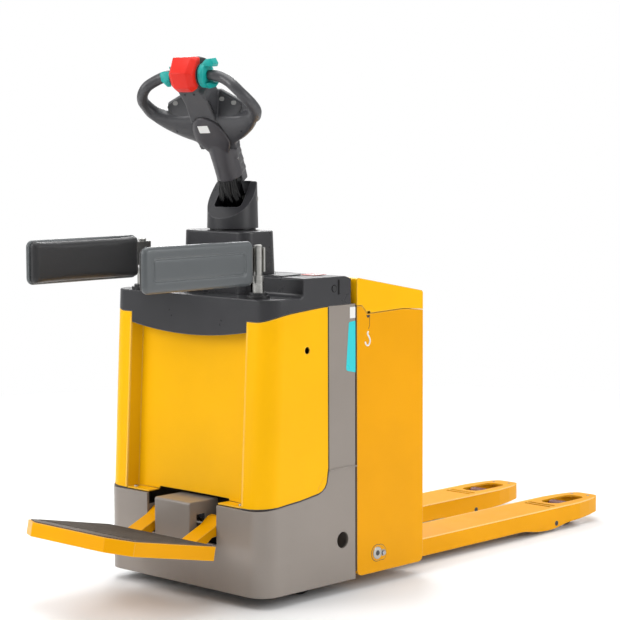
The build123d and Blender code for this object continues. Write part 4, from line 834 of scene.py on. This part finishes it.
def oval(growth):
    """Whole oval, smoothed and grown about its middle."""
    full = OVAL + [(-y, up) for y, up in reversed(OVAL[1:])]
    n = len(full)
    points = []
    for i in range(n):
        corners = [Vector(full[(i + k) % n]) for k in (-1, 0, 1, 2)]
        points += [spline_point(*corners, k / 3) for k in range(3)]
    return grown(points, growth, Vector((0, -18)))


def arm_front_form():
    """Half-round front of the arm, widening upwards."""
    rings = []
    for up in range(86, 222, 8):
        k = (up - 62) / 160
        half = 40 + 9 * max(0, k - 0.45) ** 1.5 * 2
        front = 46 + 5 * math.sin(k * math.pi) * 0.4
        section = []
        for i in range(25):
            a = math.pi * i / 24
            section.append((half * math.cos(a), 4 + (front - 4) * math.sin(a) ** 0.85))
        section += [(-half, -10), (half, -10)]
        rings.append([arm_at(y, f, up) for y, f in section])
    return rings


def arm_rear_forms():
    """Rear half of the arm, with moulded steps on its back and sides."""
    rings = []
    for up in range(58, 228, 8):
        half = 36 + 1.5 * (up - 58) / 170
        back = -47 - 3 * math.sin((up - 58) / 170 * math.pi)
        left = [(half, -7), (half, back + 12), (half - 4, back + 4), (half - 12, back)]
        section = left + [(-y, f) for y, f in reversed(left)]
        rings.append([arm_at(y, f, up) for y, f in section])
    forms = [rings]
    for u in (92, 122, 152, 182):
        forms.append(prism([(-26, u), (26, u), (22, u + 15), (-22, u + 15)],
                           lambda y, up, f: arm_at(y, f, up), -53.5, -40))
        for side in (-1, 1):
            forms.append(prism([(-40, u), (-14, u), (-16, u + 15), (-38, u + 15)],
                               lambda f, up, y: arm_at(side * y, f, up), 30, 39.2))
    return forms


oval_form = [[head_at(y, up, out) for y, up in oval(growth)] for growth, out in OVAL_STEPS]
arm = sculpt("arm_cover_front", [oval_form, arm_front_form()], voxel=0.0024, relax=6,
             finish="arm_dark")
ride(arm, "tiller")
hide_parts("arm_front_cover")
# Dark band round the cover plate: painted shade in the joint between cover and head.
joint_shade = solid("arm_cover_joint_shade", [prism(oval(1.7), head_at, -1.2, 4)], "decal_dark")
ride(joint_shade, "tiller")
rear = sculpt("arm_cover_rear", arm_rear_forms(), voxel=0.0022, relax=3, finish="arm_grey")
ride(rear, "tiller")
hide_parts("arm_rear_cover")

# ------------------------------------------------------------------ button panels and vents
PANEL = [(53, 2), (119, 2), (131, 30), (128, 38), (64, 71), (53, 71)]      # across, up
PANEL_BAR = [(118, 0), (132, 30), (126.5, 34.5), (112.5, 4)]               # at its outer edge
VENTS = [(-50.5, 124), (-50.8, 117), (-50.5, 110), (-50, 103), (-49.5, 96), (-48.8, 89),
         (-48, 82), (-47, 75), (-46, 68)]                                  # across, up


def button_panel(side):
    """Raised plate with a dark frame standing round it: painted shade in the gap round the plate."""
    def place(y, up, out):
        return panel_at(side * y, up, out)

    n = len(PANEL)
    centre = Vector((sum(p[0] for p in PANEL) / n, sum(p[1] for p in PANEL) / n))
    outer, inner = grown(PANEL, 2.4, centre), grown(PANEL, -1.0, centre)
    forms = []
    for i in range(n):
        j = (i + 1) % n
        forms.append(prism([outer[i], outer[j], inner[j], inner[i]], place, -3, 0.7))
    forms.append(prism(PANEL_BAR, place, -3, 2.0))
    gap = solid(f"panel_gap_{SIDE_NAME[side]}", forms, "decal_dark")
    ride(gap, "tiller")
    panel = solid(f"button_panel_{SIDE_NAME[side]}", [prism(PANEL, place, -2, 1.6)], "panel_dark")
    modify(panel, "BEVEL", width=0.0009, segments=2)
    apply_modifiers(panel)
    ride(panel, "tiller")


button_panel(1)
button_panel(-1)
# Dark bars for the vent slots on the ridge: painted shade inside the slots.
vents = [prism([(y - 1.2, up - 1.1), (y + 3, up - 1.1), (y + 3, up + 1.1), (y - 1.2, up + 1.1)],
               head_at, 3, 12) for y, up in VENTS]
ride(solid("ridge_vents", vents, "decal_dark"), "tiller")

# ------------------------------------------------------------------ impact button and hub cap
# Profiles as (up, out), at full width unless named otherwise.
BUTTON_TOP = [(246, 80), (262, 58)]
BUTTON_NARROW = [(253, -2), (206, -19), (180, -9)]
BUTTON_WIDE = [(240, 80), (248, 56), (240, 6), (207, -6), (186, 0), (190, 30)]
CAP = [(190, 92), (220, 92), (234, 84), (232, 60), (224, 30), (200, 20), (180, 70)]
CAP_WIDE = [(200, 92), (222, 94)]
CAP_NARROW = [(196, 98), (225, 98), (239, 86)]


def block_points(half, parts):
    """Points of a block about the middle; parts are (right share, left share, profile)."""
    return [head_at(y, up, out) for sign in (-1, 1) for right, left, profile in parts
            for y in [sign * half * (left if sign > 0 else right)] for up, out in profile]


button = hull_piece("impact_button", block_points(40, [
    (0.6, 0.93, BUTTON_TOP), (0.62, 0.62, BUTTON_NARROW), (1, 1, BUTTON_WIDE)]),
    "red", bevel=0.003, seg=4)
ride(button, "belly_button")
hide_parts("belly_button")
hub_cap = hull_piece("hub_cap", block_points(37.5, [
    (1, 1, CAP), (1.3, 1.3, CAP_WIDE), (0.8, 0.8, CAP_NARROW)]),
    "black_plastic", bevel=0.003, seg=3)
ride(hub_cap, "tiller")

# ------------------------------------------------------------------ teal thumb rotors
# Faceted cams. The disc is (across, radius); each lobe is a middle angle in degrees and points
# (across, angle from the middle, radius).
ROTOR_REST = 44.3
ROTORS = {
    1: {
        "disc": [(44, 24), (46, 27), (50, 27), (52, 25)],
        "lobe_up": (ROTOR_REST + 60, [
            (50, -34, 34), (50, 34, 34), (84, -34, 30), (84, 34, 30),
            (62, -14, 46), (62, 14, 46), (84, -13, 46), (84, 13, 46)]),
        "lobe_down": (0, [
            (52, 262, 42), (52, 336, 35), (52, 300, 40), (64, 262, 44), (68, 285, 44),
            (88, 318, 33), (88, 336, 31), (87, 300, 29), (74, 340, 33), (84, 326, 36),
            (60, 250, 30), (90, 280, 28)]),
    },
    -1: {
        "disc": [(45.5, 34), (47, 37.5), (56, 38), (62.5, 37.5), (64.5, 35)],
        "lobe_up": (ROTOR_REST, [
            (48, -40, 36), (48, 34, 36), (86, -38, 32), (86, 36, 32), (64, -20, 51),
            (66, 14, 52), (84, -19, 53), (84, 14, 54), (93, -24, 38), (93, 20, 38)]),
        "lobe_down": (ROTOR_REST + 180, [
            (52, -46, 34), (52, 40, 34), (74, -62, 30), (74, 40, 32), (89, -50, 30),
            (90, -22, 30), (86, 6, 29), (62, -4, 41), (78, -26, 41), (66, -36, 40)]),
    },
}


def rotor_at(y, degrees, radius):
    a = math.radians(degrees)
    return head_at(y, ROTOR_UP + radius * math.cos(a), ROTOR_OUT + radius * math.sin(a))


for side, rotor in ROTORS.items():
    tag = SIDE_NAME[side]
    rim = [rotor_at(side * y, 360 * i / 40, r) for i in range(40) for y, r in rotor["disc"]]
    pieces = [hull_piece(f"rotor_disc_{tag}", rim, "teal", bevel=0.0006, seg=1)]
    for lobe in ("lobe_up", "lobe_down"):
        middle, points = rotor[lobe]
        points = [rotor_at(side * y, middle + turn, r) for y, turn, r in points]
        pieces.append(hull_piece(f"rotor_{lobe}_{tag}", points, "teal", bevel=0.0016, seg=2))
    for piece in pieces:
        ride(piece, "butterfly")
    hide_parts(f"butterfly_{tag}")

# ------------------------------------------------------------------ cables, label and throat
# Cables in the throat of the tiller base: across, front, phase of the sway.
CABLES = [(-29, 26, 0), (-20, 36, 1), (-9, 31, 2), (2, 38, 3), (13, 32, 4), (23, 37, 5),
          (31, 28, 0.5), (-14, 22, 2.5), (8, 24, 4.2), (-25, 33, 1.5), (18, 26, 3.4),
          (28, 35, 2.2), (-4, 41, 0.8)]
for i, (y, front, phase) in enumerate(CABLES):
    limit = 4 + 42 * (1 - (y / 41) ** 2) ** 0.425 - 10      # stays inside the half-round front
    path = [
        arm_at(y * 0.92, min(front, limit), 112),
        arm_at(y * 0.95 + 2 * math.cos(phase * 2), min(front + 2, limit + 2), 78),
        arm_at(y + 3 * math.sin(phase), min(front + 6 + 3 * math.cos(phase), limit + 6), 44),
        arm_at(y * 1.02 - 4 * math.sin(phase + 1), front + 3, 8),
        arm_at(y * 0.86 + 3 * math.cos(phase), front - 3, -10),
        arm_at(y * 0.78, front - 9, -26),
    ]
    cable = tube(f"throat_cable_{i}", spline(path, 7), 0.0064 + 0.0009 * (i % 3), "cable", seg=12)
    ride(cable, "tiller")
    if i == 0:
        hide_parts("tiller_cables")

label = prism([(22.7, 34), (-13.5, 36), (-11.6, 5.3), (25.5, 4)], head_at, -10.4, -8.6)
ride(solid("head_label", [label], "decal_white"), "tiller")
# Black block behind the cables: painted shade deep in the throat.
throat = prism([(2, -30), (2, 108), (24, 108), (24, -10)],
               lambda f, up, y: arm_at(y, f, up), -33, 33)
ride(solid("throat_back", [throat], "cable"), "tiller")

# ------------------------------------------------------------------ marks on the flanks
FLANK = 360             # chassis flank, from the middle
CARRIAGE_FLANK = 363
# Stickers on the right column: outline (x, z), corner radii.
STICKERS = {
    "cyan": ([(137, 699), (180, 690), (180, 852), (150, 850)], [9, 1, 1, 7]),
    "white": ([(155, 861), (180, 861), (180, 896), (155, 896)], 2),
}
for tint_name, (outline, corners) in STICKERS.items():
    side_plate(f"sticker_{tint_name}", rounded(outline, corners), -FLANK, 0.5,
               f"decal_{tint_name}", "chassis")

# Weld seams across the columns; the middle of the right one is raised.
for name, y, lift in (("column_weld", -360.1, 2), ("column_weld_left", 360.1, 0)):
    seam = [truck_at(60 + 5 * i, y, 395 + (lift if 4 < i < 20 else 0) + 0.4 * math.sin(i * 1.7))
            for i in range(26)]
    ride(tube(name, seam, 0.0026, "grey_steel", seg=10), "chassis")

# Lifting point mark on the right carriage side: x, z.
LIFT_MARK = [(236, 815), (233, 806), (240, 797), (244, 787), (242, 777), (235, 770), (226, 774),
             (222, 783)]
hook = spline([truck_at(x, -363.2, z) for x, z in LIFT_MARK], 5)
ride(tube("lift_mark", hook, 0.0028, "decal_white", seg=8), "carriage")

# Finger notch of the battery cover and the line under it, both dark: painted shade in the notch and along the
# line.
side_plate("cover_notch", rounded([(228, 866), (246, 866), (240, 858), (232, 858)], 1),
           -CARRIAGE_FLANK, 0.4, "decal_dark", "carriage")
notch = [truck_at(x, -CARRIAGE_FLANK, z) for x, z in ((243, 862), (243, 834), (238, 822))]
ride(tube("notch_line", notch, 0.0009, "decal_dark", seg=6), "carriage")

# ------------------------------------------------------------------ joints of the front cover
COVER_END = -227                            # its -X end
COVER_CORNER = 64                           # corner radius seen from above
COVER_LOW, COVER_HIGH, COVER_LEAN = 302.0, 905.0, 31.0
# Joint line down the flank and along the bottom: x, z.
COVER_JOINT = [(57.2, 902), (57.2, 700), (57.2, 500), (57.2, 404), (51.5, 371), (48, 356),
               (40, 343), (27, 333.5), (12, 328), (-30, 322), (-71, 316.5), (-130, 312),
               (-163, 309)]
# Filling of the lower corner: x, z.
COVER_FILL = [(8, 327.6), (12, 328), (27, 333.5), (40, 343), (48, 356), (51.5, 371), (51.5, 380),
              (30, 372), (8, 345)]
for side in (-1, 1):
    # dark tube along the joint: painted shade in the gap between cover and chassis
    joint = [truck_at(x, side * FLANK, z) for x, z in COVER_JOINT]
    for i in range(1, 10):
        a = math.pi / 2 * i / 9
        joint.append(truck_at(COVER_END + COVER_CORNER - COVER_CORNER * math.sin(a),
                              side * (FLANK - COVER_CORNER + COVER_CORNER * math.cos(a)),
                              309 - 5.5 * i / 9))
    joint.append(truck_at(COVER_END, side * 262, 302.5))
    ride(tube(f"cover_gap_{SIDE_NAME[side]}", joint, 0.0022, "decal_dark", seg=8),
         "chassis")

    fill = [truck_at(x, side * 359.7, z) for x, z in COVER_FILL]
    bm = bmesh.new()
    for p in fill + [p + Vector((0, side * 0.0007, 0)) for p in fill]:
        bm.verts.new(p)
    bmesh.ops.convex_hull(bm, input=bm.verts)
    ride(bmesh_object(f"cover_corner_{side}", bm, "yellow_cover"), "chassis")

    # rolled lip of the recess, leaning with the cover
    lip = [truck_at(COVER_END + COVER_LEAN * (z - COVER_LOW) / (COVER_HIGH - COVER_LOW) + 4.2,
                    side * 266.0, z) for z in (310, 400, 500, 600, 700, 790, 852)]
    ride(tube(f"recess_lip_{side}", lip, 0.0052, "lip", seg=20), "chassis")

# Dark tube between the columns and the carriage: painted shade in the gap.
for side in (-1, 1):
    gap = [truck_at(183.6, side * 359.6, z) for z in (60, 480, 900)]
    ride(tube(f"column_gap_{SIDE_NAME[side]}", gap, 0.0019, "decal_dark", seg=8),
         "chassis")

# ------------------------------------------------------------------ rocker shaft keepers
# Teardrop field, ring and bolt on each carriage side.
SHAFT = (278, 103)                          # x, z
BOLT = (306, 100)
TEARDROP = [(SHAFT[0] + 26 * math.cos(math.radians(t)), SHAFT[1] + 26 * math.sin(math.radians(t)))
            for t in range(70, 291, 10)]
TEARDROP += [(306, 78), (316, 84), (320, 95), (318, 110), (308, 122), (296, 128)]
TEARDROP_RIM = [((x - 290) * 1.05 + 290, (z - 103) * 1.06 + 103) for x, z in TEARDROP]
# Name, outline, thickness, finish, rounding.
# The dark line round the field and the dark eye in the ring are painted shade at the field's edge and in the
# ring's bore.
KEEPER = [
    ("field", TEARDROP, 0.7, "yellow_steel", 0.3),
    ("line", TEARDROP_RIM, 0.25, "decal_dark", 0.0),
    ("ring", disc(19.5, *SHAFT), 3.0, "zinc", 1.2),
    ("eye", disc(8.5, *SHAFT), 3.5, "decal_dark", 0.4),
    ("bolt", disc(8.5, *BOLT, 6), 6.5, "steel", 1.2),
    ("washer", disc(11, *BOLT), 1.8, "zinc", 0.5),
]
for side in (-1, 1):
    for name, outline, thick, finish, edge in KEEPER:
        side_plate(f"keeper_{name}_{SIDE_NAME[side]}", outline, side * CARRIAGE_FLANK, thick,
                   finish, "carriage", edge)

# ------------------------------------------------------------------ top cover and deck
# Cap and slot on the right flank: name, outline, y, thickness, finish, rounding.
FLANK_PIECES = [
    ("flank_cap", disc(9, 84, 958), -360.4, 1.4, "black_plastic", 0.6),
    # the slot and the ring round the cap are near-black: painted shade in the slot and in the gap round the cap
    ("flank_slot", rounded([(101, 938), (108, 938), (108, 985), (101, 985)], 3),
     -360.4, 0.5, "cable", 0.0),
    ("flank_cap_rim", disc(11.5, 84, 958), -360.2, 0.5, "cable", 0.0),
]
for name, outline, y, thick, finish, edge in FLANK_PIECES:
    side_plate(name, outline, y, thick, finish, "chassis", edge)

DECK = 996
deck_plate("deck_insert", rounded([(-38, -252), (52, -252), (52, -184), (-38, -184)], 8),
           DECK, 3.2, "black_plastic", edge=1.5)
deck_plate("deck_patch", rounded([(62, -292), (124, -292), (124, -232), (62, -232)], 4),
           DECK, 0.6, "decal_red")
deck_plate("deck_patch_white", rounded([(70, -284), (116, -284), (116, -266), (70, -266)], 2),
           DECK + 0.4, 0.6, "decal_white")

# Collar round the top of the steering housing.
collar_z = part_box("steering_housing")[1].z * 1000 + 1.6
collar = [truck_at(70 * math.cos(2 * math.pi * i / 40), 70 * math.sin(2 * math.pi * i / 40),
                   collar_z) for i in range(41)]
ride(tube("housing_collar", collar, 0.0034, "decal_dark", seg=8), "chassis")

# ------------------------------------------------------------------ screws and fork edges
for side in (-1, 1):
    for x, offset in ((1612, 46), (1618, -30)):
        o = plate(f"nose_screw_{SIDE_NAME[side][0]}{x}", disc(5.5),
                  truck_at(x, side * 185.5 + offset * 0.9, 85), WORLD_X, WORLD_Y, 1.2,
                  "steel", edge=0.5)
        ride(o, "carriage")
screw = plate("arm_screw_0", disc(3.6, n=20), arm_at(-46, 6, 150), ARM_UP, ARM_FRONT, 2,
              "steel", edge=0.6)
ride(screw, "tiller")

# Painted highlight along the upper edges of the forks, as pale tubes: y, and the direction in towards the blade's
# middle.
for side in (-1, 1):
    for k, (y, inward) in enumerate(((101.0, 1), (270.0, -1))):
        y += 1.5 * inward
        taper = 10 * inward
        path = [truck_at(x, side * (y + shift), 83.6) for x, shift in (
            (502, 0), (900, 0), (1488, 0), (1560, taper), (1608, taper * 2.05))]
        ride(tube(f"fork_edge_{SIDE_NAME[side][0]}{k}", path, 0.0021, "edge_pale", seg=12),
             "carriage")


# ------------------------------------------------------------------ floor, light, camera
def build_floor():
    """White floor: soft shadows close to the truck, plain white to the camera far from it."""
    half, z = 40, -0.0008
    mesh = bpy.data.meshes.new("floor")
    corners = [(-half, -half, z), (half, -half, z), (half, half, z), (-half, half, z)]
    mesh.from_pydata(corners, [], [(0, 1, 2, 3)])
    shader = Shader("floor")
    feed(shader.surface, {"Base Color": (0.93, 0.93, 0.93, 1), "Roughness": 0.62,
                          "Specular IOR Level": 0.25})
    glow = shader.add("ShaderNodeEmission", {"Strength": 1.0})
    distance = shader.add("ShaderNodeVectorMath", {0: shader.coords}, operation="LENGTH")
    far = shader.remap(distance.outputs["Value"], (1.7, 4.5), (0.0, 1.0))
    path = shader.add("ShaderNodeLightPath")
    amount = shader.multiply(far, path.outputs["Is Camera Ray"])
    blend = shader.add("ShaderNodeMixShader", {0: amount, 1: shader.surface.outputs[0],
                                               2: glow.outputs[0]})
    feed(shader.output, {0: blend.outputs[0]})
    MATERIALS["floor"] = shader.material
    link_mesh("floor", mesh, "floor")


def build_world():
    """White surround, brighter overhead; the camera sees plain white."""
    world = bpy.data.worlds.new("studio")
    bpy.context.scene.world = world
    world.use_nodes = True
    tree = world.node_tree
    coords = add_node(tree, "ShaderNodeTexCoord")
    split = add_node(tree, "ShaderNodeSeparateXYZ", {0: coords.outputs["Generated"]})
    height = add_node(tree, "ShaderNodeMapRange", {
        "From Min": -0.1, "From Max": 0.9, "To Min": 0.30, "To Max": 0.85,
        0: split.outputs["Z"]})
    path = add_node(tree, "ShaderNodeLightPath")
    strength = add_node(tree, "ShaderNodeMix", {
        0: path.outputs["Is Camera Ray"], 2: height.outputs[0], 3: 1.0}, data_type="FLOAT")
    feed(tree.nodes["Background"], {"Strength": strength.outputs[0], "Color": (1, 1, 1, 1)})


# Name, place, aim, size, watts.
LIGHTS = [
    ("key", (-4.4, 2.3, 2.9), (-0.4, 0, 0.6), (2.6, 2.4), 112),
    ("fill", (1.6, -5.0, 2.6), (-0.1, 0, 0.6), (2.8, 2.2), 88),
    ("rim", (3.2, 3.6, 3.6), (-0.2, 0, 0.8), (2.6, 1.6), 110),
    ("top", (-0.3, 0.1, 4.8), (-0.3, 0, 0), (3.2, 2.2), 80),
]


def build_lights():
    for name, place, aim, size, watts in LIGHTS:
        light = bpy.data.lights.new(name, "AREA")
        light.shape = "RECTANGLE"
        light.size, light.size_y = size
        light.energy = watts
        o = bpy.data.objects.new(name, light)
        bpy.context.scene.collection.objects.link(o)
        o.location = place
        o.rotation_euler = (Vector(aim) - Vector(place)).to_track_quat("-Z", "Y").to_euler()


def build_camera():
    """Long lens from the right of the tiller end, slightly above."""
    camera = bpy.data.cameras.new("cam")
    camera.sensor_width = 36
    camera.sensor_fit = "HORIZONTAL"
    camera.lens = 116.288129
    camera.shift_x = 0.0281129032
    camera.shift_y = -0.0168870968
    camera.clip_end = 200
    o = bpy.data.objects.new("cam", camera)
    bpy.context.scene.collection.objects.link(o)
    heading, pitch, roll = -45.74, -5.01, -0.24
    o.matrix_world = (Matrix.Translation((STEER_X - 4.4029, -4.5535, 1.4632))
                      @ Matrix.Rotation(math.radians(heading), 4, "Z")
                      @ Matrix.Rotation(math.radians(90 + pitch), 4, "X")
                      @ Matrix.Rotation(math.radians(roll), 4, "Z"))
    bpy.context.scene.camera = o


build_floor()
build_world()
build_lights()
bpy.context.scene.view_settings.view_transform = "Standard"
build_camera()
